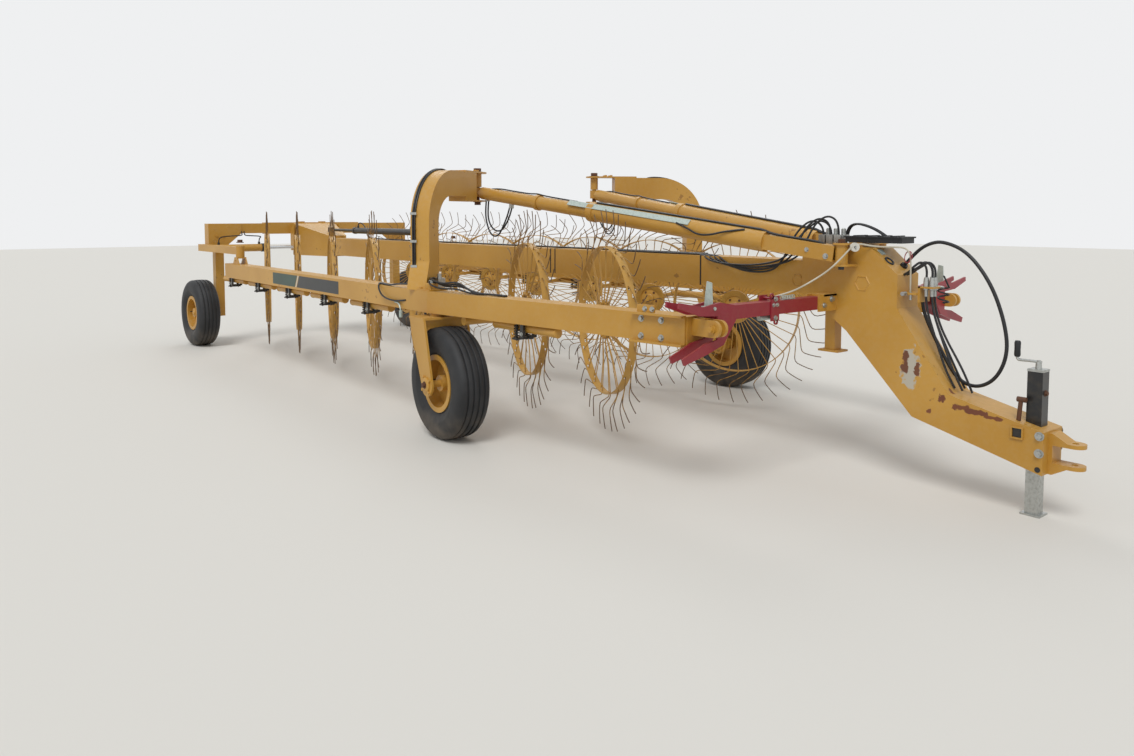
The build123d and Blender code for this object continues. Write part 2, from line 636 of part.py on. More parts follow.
with BuildPart() as arm_fittings:
    for offset_y in (-BRACKET_HALF, BRACKET_HALF - HEAD_PLATE):
        with BuildSketch(Plane.XZ.offset(ARM_REAR_Y + offset_y)):
            with BuildLine():
                Polyline(
                    (ARM_PIVOT_X - 90, ARM_TOP_Z),
                    (ARM_PIVOT_X + 90, ARM_TOP_Z),
                    (ARM_PIVOT_X + 45, BRACKET_TOP_Z - HEAD_PLATE),
                    (ARM_PIVOT_X - 45, BRACKET_TOP_Z - HEAD_PLATE),
                    close=True,
                )
            make_face()
        extrude(amount=HEAD_PLATE)
    with BuildSketch(Plane.XZ.offset(ARM_REAR_Y - BRACKET_HALF)):
        with Locations((ARM_PIVOT_X, (ARM_TOP_Z + BRACKET_TOP_Z) / 2)):
            Circle(HEAD_PLATE)
    extrude(amount=2 * BRACKET_HALF, mode=Mode.SUBTRACT)
    with BuildSketch(Plane.XY.offset(BRACKET_TOP_Z - HEAD_PLATE)):
        with Locations((ARM_PIVOT_X, -ARM_REAR_Y)):
            Rectangle(2 * HEAD_RADIUS, 2 * BRACKET_HALF)
    extrude(amount=HEAD_PLATE)
    with BuildSketch(Plane(origin=tuple(arm_front), x_dir=(0, 0, 1), z_dir=tuple(arm_front_run))):
        Rectangle(ARM_SIDE, ARM_SIDE)
    extrude(amount=HEAD_PLATE)
    channel_middle = arm_front - arm_front_run * (ARM_FRONT_X + HEAD_PLATE - CHANNEL_REAR_X - CHANNEL_LENGTH / 2)
    channel_plane = Plane(origin=channel_middle + arm_outward * ARM_SIDE / 2, x_dir=arm_front_run, z_dir=arm_outward)
    with BuildSketch(channel_plane):
        Rectangle(CHANNEL_LENGTH, CHANNEL_HEIGHT)
    extrude(amount=HEAD_PLATE)
    with BuildSketch(channel_plane):
        with GridLocations(0, CHANNEL_HEIGHT - HEAD_PLATE, 1, 2):
            Rectangle(CHANNEL_LENGTH, HEAD_PLATE)
    extrude(amount=CHANNEL_FLANGE)
    with BuildSketch(channel_plane):
        with Locations((-CHANNEL_LENGTH / 2 + 90, CHANNEL_HEIGHT / 2 + 15)):
            Rectangle(120, 50)
    extrude(amount=HEAD_PLATE)
    for offset_y in (-LUG_HALF, LUG_HALF - LUG_PLATE):
        with BuildSketch(Plane.XZ.offset(ARM_FRONT_Y + offset_y)):
            with Locations(((ARM_FRONT_X + HEAD_PLATE / 2 + LUG_X) / 2, LUG_Z)):
                Rectangle(LUG_X - ARM_FRONT_X - HEAD_PLATE / 2, 2 * LUG_RADIUS)
            with Locations((LUG_X, LUG_Z)):
                Circle(LUG_RADIUS)
        extrude(amount=LUG_PLATE)
    with BuildSketch(Plane.XZ.offset(ARM_FRONT_Y - LUG_HALF)):
        with Locations((LUG_X, LUG_Z)):
            Circle(LUG_PIN_RADIUS)
    extrude(amount=2 * LUG_HALF + HEAD_PLATE)
save_pair(arm_fittings.part, "arm_fittings")

# Arch on the right: a curved box post with the head plates that hold the boom's pin
arch_run = Vector(BOOM_PIN_X - ARCH_X, -BOOM_PIN_Y + ARCH_Y, 0)
ARCH_REACH = arch_run.length
arch_plane = Plane(origin=(ARCH_X, -ARCH_Y, 0), x_dir=arch_run.normalized(),
                   z_dir=arch_run.normalized().cross(Vector(0, 0, 1)))
ARCH_BOX_END = ARCH_REACH - 180
with BuildPart() as arch:
    with BuildSketch(arch_plane.offset(-ARCH_SIDE / 2)):
        with BuildLine():
            l1 = Line((-ARCH_SIDE / 2, ARM_TOP_Z), (-ARCH_SIDE / 2, ARCH_TOP_Z - 400))
            l2 = RadiusArc(l1 @ 1, (-ARCH_SIDE / 2 + 400, ARCH_TOP_Z), 400)
            l3 = Line(l2 @ 1, (ARCH_BOX_END, ARCH_TOP_Z))
            l4 = Line(l3 @ 1, (ARCH_BOX_END, ARCH_UNDER_Z))
            l5 = Line(l4 @ 1, (ARCH_SIDE / 2 + 220, ARCH_UNDER_Z))
            l6 = RadiusArc(l5 @ 1, (ARCH_SIDE / 2, ARCH_UNDER_Z - 220), -220)
            l7 = Line(l6 @ 1, (ARCH_SIDE / 2, ARM_TOP_Z))
            Line(l7 @ 1, l1 @ 0)
        make_face()
    extrude(amount=ARCH_SIDE)
    offset(amount=-ARM_WALL, openings=arch.faces().sort_by(Axis.Z)[0])
    plate(
        arch_plane.offset(-ARCH_SIDE / 2),
        [(-ARCH_SIDE / 2, ARM_TOP_Z), (-ARCH_SIDE / 2 - 65, ARM_TOP_Z), (-ARCH_SIDE / 2, ARM_TOP_Z + 200)],
        ARCH_SIDE,
    )
    with BuildSketch(Plane(origin=(ARCH_X, -ARCH_Y, ARCH_UNDER_Z - HEAD_SPACER), x_dir=arch_run.normalized(),
                           z_dir=(0, 0, 1))):
        with Locations((ARCH_BOX_END - 100, 0)):
            Rectangle(200, ARCH_SIDE)
    extrude(amount=HEAD_SPACER)
    for low in (ARCH_UNDER_Z - HEAD_SPACER - HEAD_PLATE, ARCH_TOP_Z):
        with BuildSketch(Plane(origin=(ARCH_X, -ARCH_Y, low), x_dir=arch_run.normalized(), z_dir=(0, 0, 1))):
            with Locations(((ARCH_BOX_END - 200 + ARCH_REACH) / 2, 0)):
                Rectangle(ARCH_REACH - ARCH_BOX_END + 200, ARCH_SIDE)
            with Locations((ARCH_REACH, 0)):
                Circle(ARCH_SIDE / 2)
        extrude(amount=HEAD_PLATE)
save_pair(arch.part, "arch")

# Boom on the right: the outer tube on the front pivot, the inner tube with its pin boss
boom_front = Vector(BOOM_FRONT_X, -BOOM_FRONT_Y, BOOM_LUG_Z + RUN_GAP + BOOM_EYE_HEIGHT / 2)
boom_back = Vector(BOOM_PIN_X, -BOOM_PIN_Y, ARCH_UNDER_Z + FREE_GAP + PIN_BOSS_HEIGHT / 2)
boom_run = (boom_back - boom_front).normalized()
boom_length = (boom_back - boom_front).length
with BuildPart() as boom_outer:
    with BuildSketch(Plane.XY.offset(BOOM_LUG_Z + RUN_GAP)):
        with Locations((BOOM_FRONT_X, -BOOM_FRONT_Y)):
            Circle(BOOM_EYE_RADIUS)
    extrude(amount=BOOM_EYE_HEIGHT)
    box_tube(tuple(boom_front + boom_run * BOOM_BOX_START), tuple(boom_run), BOOM_BOX, BOOM_BOX, LEG_WALL,
             BOOM_BOX_LENGTH - BOOM_BOX_START)
    with BuildSketch(Plane(origin=tuple(boom_front + boom_run * BOOM_BOX_LENGTH), z_dir=tuple(boom_run))):
        Circle(BOOM_TUBE_DIAMETER / 2)
    extrude(amount=END_PLATE)
    round_tube(tuple(boom_front + boom_run * (BOOM_BOX_LENGTH + END_PLATE)), tuple(boom_run),
               BOOM_TUBE_DIAMETER, (BOOM_TUBE_DIAMETER - BOOM_ROD_DIAMETER) / 2 - SLIDE_GAP,
               BOOM_OUTER_LENGTH - BOOM_BOX_LENGTH - END_PLATE)
save_pair(boom_outer.part, "boom_outer")
with BuildPart() as boom_rod:
    round_tube(tuple(boom_front + boom_run * BOOM_ROD_START), tuple(boom_run), BOOM_ROD_DIAMETER,
               BOOM_TUBE_WALL, boom_length - BOOM_ROD_START - BOOM_NECK - END_PLATE)
    with BuildSketch(Plane(origin=tuple(boom_back - boom_run * (BOOM_NECK + END_PLATE)), z_dir=tuple(boom_run))):
        Circle(BOOM_ROD_DIAMETER / 2)
    extrude(amount=END_PLATE)
    with BuildSketch(Plane(origin=tuple(boom_back - boom_run * BOOM_NECK), z_dir=tuple(boom_run))):
        Circle(BOOM_NECK_RADIUS)
    extrude(amount=BOOM_NECK)
    with BuildSketch(Plane.XY.offset(ARCH_UNDER_Z + FREE_GAP)):
        with Locations((BOOM_PIN_X, -BOOM_PIN_Y)):
            Circle(BOOM_EYE_RADIUS)
    extrude(amount=PIN_BOSS_HEIGHT)
save_pair(boom_rod.part, "boom_rod")

# Caster fork on the right and the wheel in it, trailing forwards as the rake was last pushed back
toe = radians(-CASTER_TOE)
trail = Vector(cos(toe), sin(toe), 0)
axle_line = Vector(-sin(toe), cos(toe), 0)
caster_foot = Vector(CASTER_X, -CASTER_Y, 0)
caster_hub = caster_foot + trail * CASTER_TRAIL + Vector(0, 0, AXLE_Z)
with BuildPart() as caster_fork:
    with BuildSketch(Plane(origin=(CASTER_X, -CASTER_Y, FORK_TOP_Z - FORK_PLATE), x_dir=tuple(trail), z_dir=(0, 0, 1))):
        Rectangle(FORK_DEPTH, 2 * FORK_HALF)
    extrude(amount=FORK_PLATE)
    with BuildSketch(Plane.XY.offset(FORK_TOP_Z)):
        with Locations((CASTER_X, -CASTER_Y)):
            Circle(60)
    extrude(amount=ARM_BOTTOM_Z - RUN_GAP - FORK_TOP_Z)
    for side in (-1, 1):
        cheek = caster_foot + axle_line * side * (FORK_HALF - FORK_PLATE / 2)
        with BuildSketch(Plane(origin=tuple(cheek), x_dir=tuple(trail), z_dir=tuple(-axle_line)).offset(-FORK_PLATE / 2)):
            with BuildLine():
                Polyline(
                    (-FORK_DEPTH / 2, FORK_TOP_Z),
                    (FORK_DEPTH / 2, FORK_TOP_Z),
                    (CASTER_TRAIL + FORK_END_RADIUS, AXLE_Z),
                    (CASTER_TRAIL - FORK_END_RADIUS, AXLE_Z),
                    close=True,
                )
            make_face()
            with Locations((CASTER_TRAIL, AXLE_Z)):
                Circle(FORK_END_RADIUS)
        extrude(amount=FORK_PLATE)
        stub = caster_hub + axle_line * side * (WHEEL_HUB_LENGTH / 2 + RUN_GAP)
        with BuildSketch(Plane(origin=tuple(stub), z_dir=tuple(axle_line * side))):
            Circle(25)
        extrude(amount=FORK_HALF - WHEEL_HUB_LENGTH / 2 - RUN_GAP)
save_pair(caster_fork.part, "caster_fork")
front_rim, front_tyre = road_wheel(tuple(caster_hub), tuple(axle_line))
save_pair(front_rim, "front_rim")
save_pair(front_tyre, "front_tyre")

# Rake wheels on the right and the trailing arms that carry them
rake_turn = radians(RAKE_TURN)
rake_axis = Vector(sin(rake_turn), cos(rake_turn), 0)


def arm_y(x):
    """Distance of the arm's middle from the centreline at a place along it."""
    if x < ARM_KINK_X:
        share = (x - ARM_REAR_X) / (ARM_KINK_X - ARM_REAR_X)
        return ARM_REAR_Y + share * (ARM_KINK_Y - ARM_REAR_Y)
    share = (x - ARM_KINK_X) / (ARM_FRONT_X - ARM_KINK_X)
    return ARM_KINK_Y + share * (ARM_FRONT_Y - ARM_KINK_Y)


HUB_BACK = RAKE_HUB_LENGTH / 2 + RUN_GAP
CARRIER_Z = ARM_BOTTOM_Z - RUN_GAP - CARRIER_TUBE / 2
with BuildPart() as wheel_carriers:
    for x, y, inboard in RAKE_PLACES:
        hub = Vector(CROSSBAR_X + x, -y, RAKE_Z)
        back = hub - rake_axis * HUB_BACK
        reach = (arm_y(hub.X) - inboard - y) / rake_axis.Y
        foot = hub - rake_axis * reach
        with BuildSketch(Plane(origin=tuple(back), z_dir=tuple(-rake_axis))):
            Circle(CARRIER_AXLE / 2)
        extrude(amount=reach - HUB_BACK)
        with BuildSketch(Plane.YZ.offset(foot.X - CARRIER_TUBE / 2)):
            with Locations((foot.Y, CARRIER_Z)):
                Circle(CARRIER_TUBE / 2)
        extrude(amount=CARRIER_LENGTH)
        if inboard > 0:
            with BuildSketch(Plane.XZ.offset(-foot.Y)):
                with Locations((foot.X + CARRIER_LENGTH - CARRIER_TUBE, CARRIER_Z)):
                    Circle(CARRIER_TUBE / 2)
            extrude(amount=inboard)
save_pair(wheel_carriers.part, "wheel_carriers")

# One rake wheel about the origin: a star of bent tines, the rim hoop, the hub plate and its boss.
# A tine runs out to the rim, leans over along it and turns outwards again.
tine_tip = sqrt(RAKE_RADIUS**2 - TINE_LEAN**2)
tine_line = (
    (RAKE_BOSS_RADIUS, 0),
    (RAKE_RIM_RADIUS + RAKE_TINE, 0),
    (TINE_ELBOW, TINE_LEAN),
    (tine_tip, TINE_LEAN),
)
with BuildPart() as rake_wheel:
    with BuildSketch() as tine:
        with BuildLine():
            Polyline(*strip(tine_line, RAKE_TINE / 2), close=True)
        make_face()
    with BuildSketch(Plane.XY.offset(-RAKE_TINE / 2)) as star:
        with PolarLocations(0, RAKE_TINES):
            add(tine.sketch)
        Circle(RAKE_HUB_RADIUS)
    extrude(star.sketch, amount=RAKE_TINE)
    with BuildSketch(Plane.XY.offset(-RAKE_RIM_WIDTH / 2)) as hoop:
        Circle(RAKE_RIM_RADIUS)
        Circle(RAKE_RIM_RADIUS - RAKE_RIM_WALL, mode=Mode.SUBTRACT)
    extrude(hoop.sketch, amount=RAKE_RIM_WIDTH)
    with BuildSketch(Plane.XY.offset(-RAKE_HUB_LENGTH / 2)) as boss:
        Circle(RAKE_BOSS_RADIUS)
    extrude(boss.sketch, amount=RAKE_HUB_LENGTH)
for number, (x, y, _) in enumerate(RAKE_PLACES, start=1):
    place = Plane(origin=(CROSSBAR_X + x, -y, RAKE_Z), x_dir=(0, 0, 1), z_dir=rake_axis)
    save_pair(rake_wheel.part.moved(place.location), f"rake_wheel_{number}")

# Spring clamps under the right arm: a bent bar round each trailing arm
with BuildPart() as spring_clamps:
    for x, y, inboard in RAKE_PLACES:
        if inboard == 0:
            reach = (arm_y(CROSSBAR_X + x) - y) / rake_axis.Y
            foot = Vector(CROSSBAR_X + x, -y, 0) - rake_axis * reach
            with BuildSketch(Plane.YZ.offset(foot.X + CLAMP_AHEAD)):
                with Locations((foot.Y, ARM_BOTTOM_Z - CLAMP_DEPTH / 2)):
                    Rectangle(CLAMP_WIDTH, CLAMP_DEPTH)
                with Locations((foot.Y, ARM_BOTTOM_Z - (CLAMP_DEPTH - CLAMP_BAR) / 2)):
                    Rectangle(CLAMP_WIDTH - 2 * CLAMP_BAR, CLAMP_DEPTH - CLAMP_BAR, mode=Mode.SUBTRACT)
            extrude(amount=2 * CLAMP_BAR)
save_pair(spring_clamps.part, "spring_clamps")

# Cover that lies on the crest's lug plate
with BuildPart() as top_cover:
    with BuildSketch(Plane.XY.offset(LUG_TOP_Z)):
        with Locations((COVER_REAR_X + COVER_LENGTH / 2, 0)):
            Rectangle(COVER_LENGTH, COVER_WIDTH)
    extrude(amount=COVER_HEIGHT)
    fillet(top_cover.edges().filter_by(Axis.Z), HEAD_PLATE)
save(top_cover.part, "top_cover")


def block_top(x):
    """Height of the rear block's sloping top at a place along it."""
    return BLOCK_TOP_Z + (BLOCK_NOSE_Z - BLOCK_TOP_Z) * (x - BLOCK_REAR_X) / BLOCK_LENGTH


# Ram over the main beam: a lug on the rear block, the rod, the barrel and its front bracket
with BuildPart() as top_ram:
    plate(
        Plane.XZ.offset(-TOP_EAR),
        [
            (TOP_ROD_REAR_X - 2 * TOP_EAR, block_top(TOP_ROD_REAR_X - 2 * TOP_EAR)),
            (TOP_ROD_REAR_X, block_top(TOP_ROD_REAR_X)),
            (TOP_ROD_REAR_X, RAM_AXIS_Z + TOP_EAR),
            (TOP_ROD_REAR_X - 2 * TOP_EAR, RAM_AXIS_Z + TOP_EAR),
        ],
        2 * TOP_EAR,
    )
    round_bar((TOP_ROD_REAR_X, 0, RAM_AXIS_Z), (1, 0, 0), TOP_ROD_DIAMETER, TOP_BARREL_REAR_X - TOP_ROD_REAR_X)
    round_bar((TOP_BARREL_REAR_X, 0, RAM_AXIS_Z), (1, 0, 0), TOP_BARREL_DIAMETER, TOP_BARREL_LENGTH)
    with BuildSketch(Plane.YZ.offset(TOP_BARREL_REAR_X + TOP_BARREL_LENGTH)):
        with Locations((0, (BEAM_TOP_Z + RAM_AXIS_Z + TOP_EAR) / 2)):
            Rectangle(2 * TOP_EAR, RAM_AXIS_Z + TOP_EAR - BEAM_TOP_Z)
    extrude(amount=TOP_EAR)
save(top_ram.part, "top_ram")

# Supply hose: out of the brow's slope at right angles, round a wide loop and up to the shelf's underside
HOSE_EXIT = 122.0
HOSE_RISE = 110.0
HOSE_Y = 30.0
brow_run = Vector(BROW_X - CREST_FRONT_X, 0, BROW_Z - CREST_Z).normalized()
brow_out = Vector(-brow_run.Z, 0, brow_run.X)
hose_exit = Vector(CREST_FRONT_X, HOSE_Y, CREST_Z) + brow_run * (HOSE_EXIT / brow_run.X)
# Corners of the loop after that: distance ahead of the cross tube, height
HOSE_LOOP = (
    (8370.0, 1388.0),
    (8460.0, 1404.0),
    (8600.0, 1348.0),
    (8730.0, 1185.0),
    (8808.0, 985.0),
    (8832.0, 815.0),
    (8775.0, 670.0),
    (8668.0, 606.0),
    (8560.0, 640.0),
    (8472.0, 775.0),
    (8392.0, 915.0),
    (8345.0, 1025.0),
    (8345.0, SHELF_TOP_Z - HEAD_PLATE),
)
with BuildPart() as supply_hose:
    cord(
        [hose_exit, hose_exit + brow_out * HOSE_RISE]
        + [Vector(CROSSBAR_X + x, HOSE_Y, z) for x, z in HOSE_LOOP],
        HOSE_DIAMETER,
    )
save(supply_hose.part, "supply_hose")

# Pull rope: from the rear hook plate behind the latch bar, over it and up to the neck's edge, along the crest
# and down to the shelf
# Corners: distance ahead of the cross tube, distance to the left, height
ROPE_ROUTE = (
    (7780.5, -1217.0, 1062.0),
    (7708.0, -1217.0, 1062.0),
    (7708.0, -1080.0, 1048.0),
    (7718.0, -935.0, 1022.0),
    (7733.0, -800.0, 1020.0),
    (7758.0, -700.0, 1046.0),
    (7790.0, -640.0, 1078.0),
    (7862.0, -530.0, 1112.0),
    (7910.0, -440.0, 1160.0),
    (7968.0, -335.0, 1230.0),
    (8006.0, -263.0, 1303.0),
    (8046.0, -190.0, 1390.0),
    (8112.0, -112.0, 1368.0),
    (8200.0, -78.0, 1366.0),
    (8312.0, -60.0, 1366.0),
    (8320.0, -60.0, 1238.0),
    (8320.0, -60.0, SHELF_TOP_Z),
)
with BuildPart() as pull_rope:
    cord([(CROSSBAR_X + x, y, z) for x, y, z in ROPE_ROUTE], ROPE_DIAMETER)
save(pull_rope.part, "pull_rope")
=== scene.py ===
"""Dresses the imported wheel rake: finishes, tined wheels, tyres, hoses, fasteners, light and camera.

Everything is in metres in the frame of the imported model: X runs forward to the hitch, Y to the machine's
left and Z up from the floor.
"""

from __future__ import annotations

import json
import logging
import math
from collections.abc import Iterable, Sequence
from dataclasses import dataclass, field
from enum import Enum
from typing import Any

import bmesh
import bpy
from mathutils import Matrix, Vector

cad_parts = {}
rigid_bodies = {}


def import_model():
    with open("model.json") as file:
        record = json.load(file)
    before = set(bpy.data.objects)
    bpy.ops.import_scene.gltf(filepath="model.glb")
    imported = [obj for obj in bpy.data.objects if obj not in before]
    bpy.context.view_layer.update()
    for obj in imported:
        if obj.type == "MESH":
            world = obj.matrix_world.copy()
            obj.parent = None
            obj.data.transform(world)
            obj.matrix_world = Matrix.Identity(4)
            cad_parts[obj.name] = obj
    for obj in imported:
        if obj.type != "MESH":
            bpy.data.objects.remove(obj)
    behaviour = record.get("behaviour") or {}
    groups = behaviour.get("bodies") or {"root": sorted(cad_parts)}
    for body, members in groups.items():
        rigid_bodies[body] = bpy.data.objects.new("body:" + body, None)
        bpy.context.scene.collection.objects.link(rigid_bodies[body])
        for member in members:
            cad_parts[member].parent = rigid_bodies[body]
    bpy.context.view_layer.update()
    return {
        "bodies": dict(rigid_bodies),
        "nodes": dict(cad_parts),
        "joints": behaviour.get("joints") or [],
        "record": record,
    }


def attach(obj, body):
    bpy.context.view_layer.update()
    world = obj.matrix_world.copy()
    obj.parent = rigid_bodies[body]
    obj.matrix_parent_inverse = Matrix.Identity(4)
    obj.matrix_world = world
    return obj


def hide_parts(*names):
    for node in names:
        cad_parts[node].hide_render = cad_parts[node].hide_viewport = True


LOG = logging.getLogger("wheel_rake")

CROSS_TUBE_X = -4.450
SMOOTH_ANGLE = math.radians(35.0)


class Side(Enum):
    """A side of the machine; the value is the sign of Y."""

    RIGHT = -1
    LEFT = 1

    @property
    def word(self) -> str:
        """The side's name as the nodes and bodies carry it."""
        return self.name.lower()


def ahead(distance: float) -> float:
    """Turns a distance ahead of the cross tube into model X."""
    return CROSS_TUBE_X + distance


def linear(colour: str) -> tuple[float, float, float, float]:
    """Turns an sRGB hex colour into linear light.

    Args:
        colour: Six hex digits with a leading hash.

    Returns:
        The colour's red, green, blue and alpha.
    """
    parts = [int(colour[i : i + 2], 16) / 255 for i in (1, 3, 5)]
    light = [c / 12.92 if c <= 0.04045 else ((c + 0.055) / 1.055) ** 2.4 for c in parts]
    return (light[0], light[1], light[2], 1.0)


def add_node(
    tree: bpy.types.NodeTree, kind: str, inputs: dict[str | int, Any] | None = None, **settings: Any
) -> bpy.types.Node:
    """Adds a node with its settings, its values and its links.

    Args:
        tree: The tree that takes the node.
        kind: The node's type.
        inputs: A value, or another node's output, for each input by name or number.
        **settings: The node's own properties.

    Returns:
        The new node.
    """
    node = tree.nodes.new(kind)
    for name, value in settings.items():
        setattr(node, name, value)
    for key, value in (inputs or {}).items():
        if isinstance(value, bpy.types.NodeSocket):
            tree.links.new(value, node.inputs[key])
        else:
            node.inputs[key].default_value = value
    return node


class Shape:
    """Collects the closed shells of one piece and turns them into a mesh."""

    def __init__(self) -> None:
        """Starts with nothing."""
        self.points: list[Vector] = []
        self.faces: list[tuple[int, ...]] = []

    def shell(
        self, points: Iterable[Sequence[float]], faces: Iterable[Sequence[int]], place: Matrix | None = None
    ) -> Shape:
        """Adds points and the faces between them.

        Args:
            points: The shell's points.
            faces: Each face as numbers of its points.
            place: Where the shell goes.

        Returns:
            The shape itself.
        """
        start = len(self.points)
        matrix = place or Matrix.Identity(4)
        self.points.extend(matrix @ Vector(p) for p in points)
        self.faces.extend(tuple(start + i for i in face) for face in faces)
        return self

    def prism(
        self, outline: Sequence[Sequence[float]], low: float, high: float, place: Matrix | None = None
    ) -> Shape:
        """Adds an outline in XY drawn out along Z.

        Args:
            outline: The outline's corners in order.
            low: Height of the lower face.
            high: Height of the upper face.
            place: Where the prism goes.

        Returns:
            The shape itself.
        """
        n = len(outline)
        points = [(x, y, low) for x, y in outline] + [(x, y, high) for x, y in outline]
        sides = [(i, (i + 1) % n, n + (i + 1) % n, n + i) for i in range(n)]
        return self.shell(points, [tuple(range(n)), tuple(range(n, 2 * n)), *sides], place)

    def box(self, size: Sequence[float], place: Matrix | None = None) -> Shape:
        """Adds a box about its own middle."""
        x, y, z = (s / 2 for s in size)
        return self.prism([(-x, -y), (x, -y), (x, y), (-x, y)], -z, z, place)

    def lathe(
        self, profile: Sequence[Sequence[float]], sides: int, place: Matrix | None = None, ring: bool = False
    ) -> Shape:
        """Adds a profile turned about Z.

        Args:
            profile: Radius and height of each point; a first or last radius of 0 closes the end.
            sides: Number of steps round.
            place: Where the shell goes.
            ring: Joins the last point to the first, as on a tyre.

        Returns:
            The shape itself.
        """
        points: list[tuple[float, float, float]] = []
        rows: list[list[int]] = []
        for radius, height in profile:
            if radius <= 0.0:
                rows.append([len(points)] * sides)
                points.append((0.0, 0.0, height))
                continue
            rows.append(list(range(len(points), len(points) + sides)))
            for step in range(sides):
                angle = math.tau * step / sides
                points.append((radius * math.cos(angle), radius * math.sin(angle), height))
        pairs = list(zip(rows, rows[1:]))
        if ring:
            pairs.append((rows[-1], rows[0]))
        faces = []
        for low, high in pairs:
            for i in range(sides):
                j = (i + 1) % sides
                corners = list(dict.fromkeys((low[i], low[j], high[j], high[i])))
                faces.append(corners)
        return self.shell(points, faces, place)

    def take(self, mesh: bpy.types.Mesh) -> Shape:
        """Adds a copy of a mesh's points and faces."""
        return self.shell([v.co.copy() for v in mesh.vertices], [tuple(p.vertices) for p in mesh.polygons])

    def mirrored(self) -> Shape:
        """Gives the same shape on the machine's other side."""
        other = Shape()
        other.points = [Vector((p.x, -p.y, p.z)) for p in self.points]
        other.faces = list(self.faces)
        return other

    def hose(self, points: Sequence[Sequence[float]], radius: float) -> Shape:
        """Adds a bent hose or wire that the machine holds, smooth between its ends.

        Args:
            points: The control points of its middle line.
            radius: Half its thickness.

        Returns:
            The shape itself.
        """
        curve = bpy.data.curves.new("run", "CURVE")
        curve.dimensions = "3D"
        curve.bevel_depth = radius
        curve.bevel_resolution = 2
        curve.resolution_u = 6
        curve.use_fill_caps = True
        line = curve.splines.new("NURBS")
        line.points.add(len(points) - 1)
        for spot, point in zip(line.points, points):
            spot.co = (*point, 1.0)
        line.order_u = 3
        line.use_endpoint_u = True
        carrier = bpy.data.objects.new("run", curve)
        bpy.context.scene.collection.objects.link(carrier)
        graph = bpy.context.evaluated_depsgraph_get()
        self.take(bpy.data.meshes.new_from_object(carrier.evaluated_get(graph)))
        bpy.data.objects.remove(carrier)
        return self

    def rod(self, path: Sequence[Sequence[float]], radius: float, sides: int = 8) -> Shape:
        """Adds a round bar along a line of points.

        Args:
            path: The points that the bar's middle follows.
            radius: Half the bar's thickness.
            sides: Number of flats round the bar.

        Returns:
            The shape itself.
        """
        line = [Vector(p) for p in path]
        points: list[Vector] = []
        across = Vector((0.0, 0.0, 0.0))
        for i, here in enumerate(line):
            run = (line[min(i + 1, len(line) - 1)] - line[max(i - 1, 0)]).normalized()
            if across.length < 0.5:
                across = run.orthogonal().normalized()
            across = (across - run * across.dot(run)).normalized()
            other = run.cross(across)
            for step in range(sides):
                angle = math.tau * step / sides
                points.append(here + (across * math.cos(angle) + other * math.sin(angle)) * radius)
        faces: list[tuple[int, ...]] = [tuple(range(sides)), tuple(range(len(points) - sides, len(points)))]
        for ring in range(len(line) - 1):
            for i in range(sides):
                j = (i + 1) % sides
                low, high = ring * sides, (ring + 1) * sides
                faces.append((low + i, low + j, high + j, high + i))
        return self.shell(points, faces)

    def mesh(self, name: str) -> bpy.types.Mesh:
        """Makes the mesh, with its faces outwards and smooth where it is round."""
        mesh = bpy.data.meshes.new(name)
        mesh.from_pydata([tuple(p) for p in self.points], [], self.faces)
        return outward(mesh)


def outward(mesh: bpy.types.Mesh) -> bpy.types.Mesh:
    """Turns a mesh's faces outwards and shades its round parts smooth."""
    work = bmesh.new()
    work.from_mesh(mesh)
    bmesh.ops.recalc_face_normals(work, faces=work.faces)
    work.to_mesh(mesh)
    work.free()
    mesh.shade_smooth()
    mesh.set_sharp_from_angle(angle=SMOOTH_ANGLE)
    return mesh


def place_along(origin: Sequence[float], direction: Sequence[float], turn: float = 0.0) -> Matrix:
    """Gives the place of a shape whose Z runs along a direction.

    Args:
        origin: Where the shape's own origin goes.
        direction: Where its Z points.
        turn: Turn about that direction, in radians.

    Returns:
        The matrix that puts it there.
    """
    turned = Vector(direction).to_track_quat("Z", "Y").to_matrix().to_4x4()
    return Matrix.Translation(Vector(origin)) @ turned @ Matrix.Rotation(turn, 4, "Z")


def show(
    name: str,
    mesh: bpy.types.Mesh,
    body: str,
    finish: bpy.types.Material | Sequence[bpy.types.Material] | None,
    replaces: Sequence[str] = (),
) -> bpy.types.Object:
    """Puts a finished mesh in the scene as a piece that rides on a body.

    Args:
        name: The piece's name.
        mesh: Its mesh, already in place.
        body: The body that it moves with.
        finish: Its material or materials, or None where the mesh has its own.
        replaces: CAD nodes that the piece stands for.

    Returns:
        The new object.
    """
    piece = bpy.data.objects.new(name, mesh)
    bpy.context.scene.collection.objects.link(piece)
    if finish is not None:
        finishes = [finish] if isinstance(finish, bpy.types.Material) else list(finish)
        mesh.materials.clear()
        for material in finishes:
            mesh.materials.append(material)
    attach(piece, body)
    if replaces:
        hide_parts(*replaces)
    LOG.info("%s on %s: %d faces", name, body, len(mesh.polygons))
    return piece


def grow(tree: bpy.types.NodeTree, source: bpy.types.Mesh, values: dict[str, Any]) -> bpy.types.Mesh:
    """Runs a Geometry Nodes tree on a mesh.

    Args:
        tree: The tree, whose first input and output are geometry.
        source: The mesh that goes in.
        values: A value for each named input.

    Returns:
        The result as a plain mesh.
    """
    carrier = bpy.data.objects.new("carrier", source)
    bpy.context.scene.collection.objects.link(carrier)
    modifier = carrier.modifiers.new("grow", "NODES")
    modifier.node_group = tree
    for item in tree.interface.items_tree:
        if item.item_type == "SOCKET" and item.in_out == "INPUT" and item.name in values:
            modifier[item.identifier] = values[item.name]
    graph = bpy.context.evaluated_depsgraph_get()
    result = bpy.data.meshes.new_from_object(carrier.evaluated_get(graph))
    carrier.modifiers.remove(modifier)
    bpy.data.objects.remove(carrier)
    return result


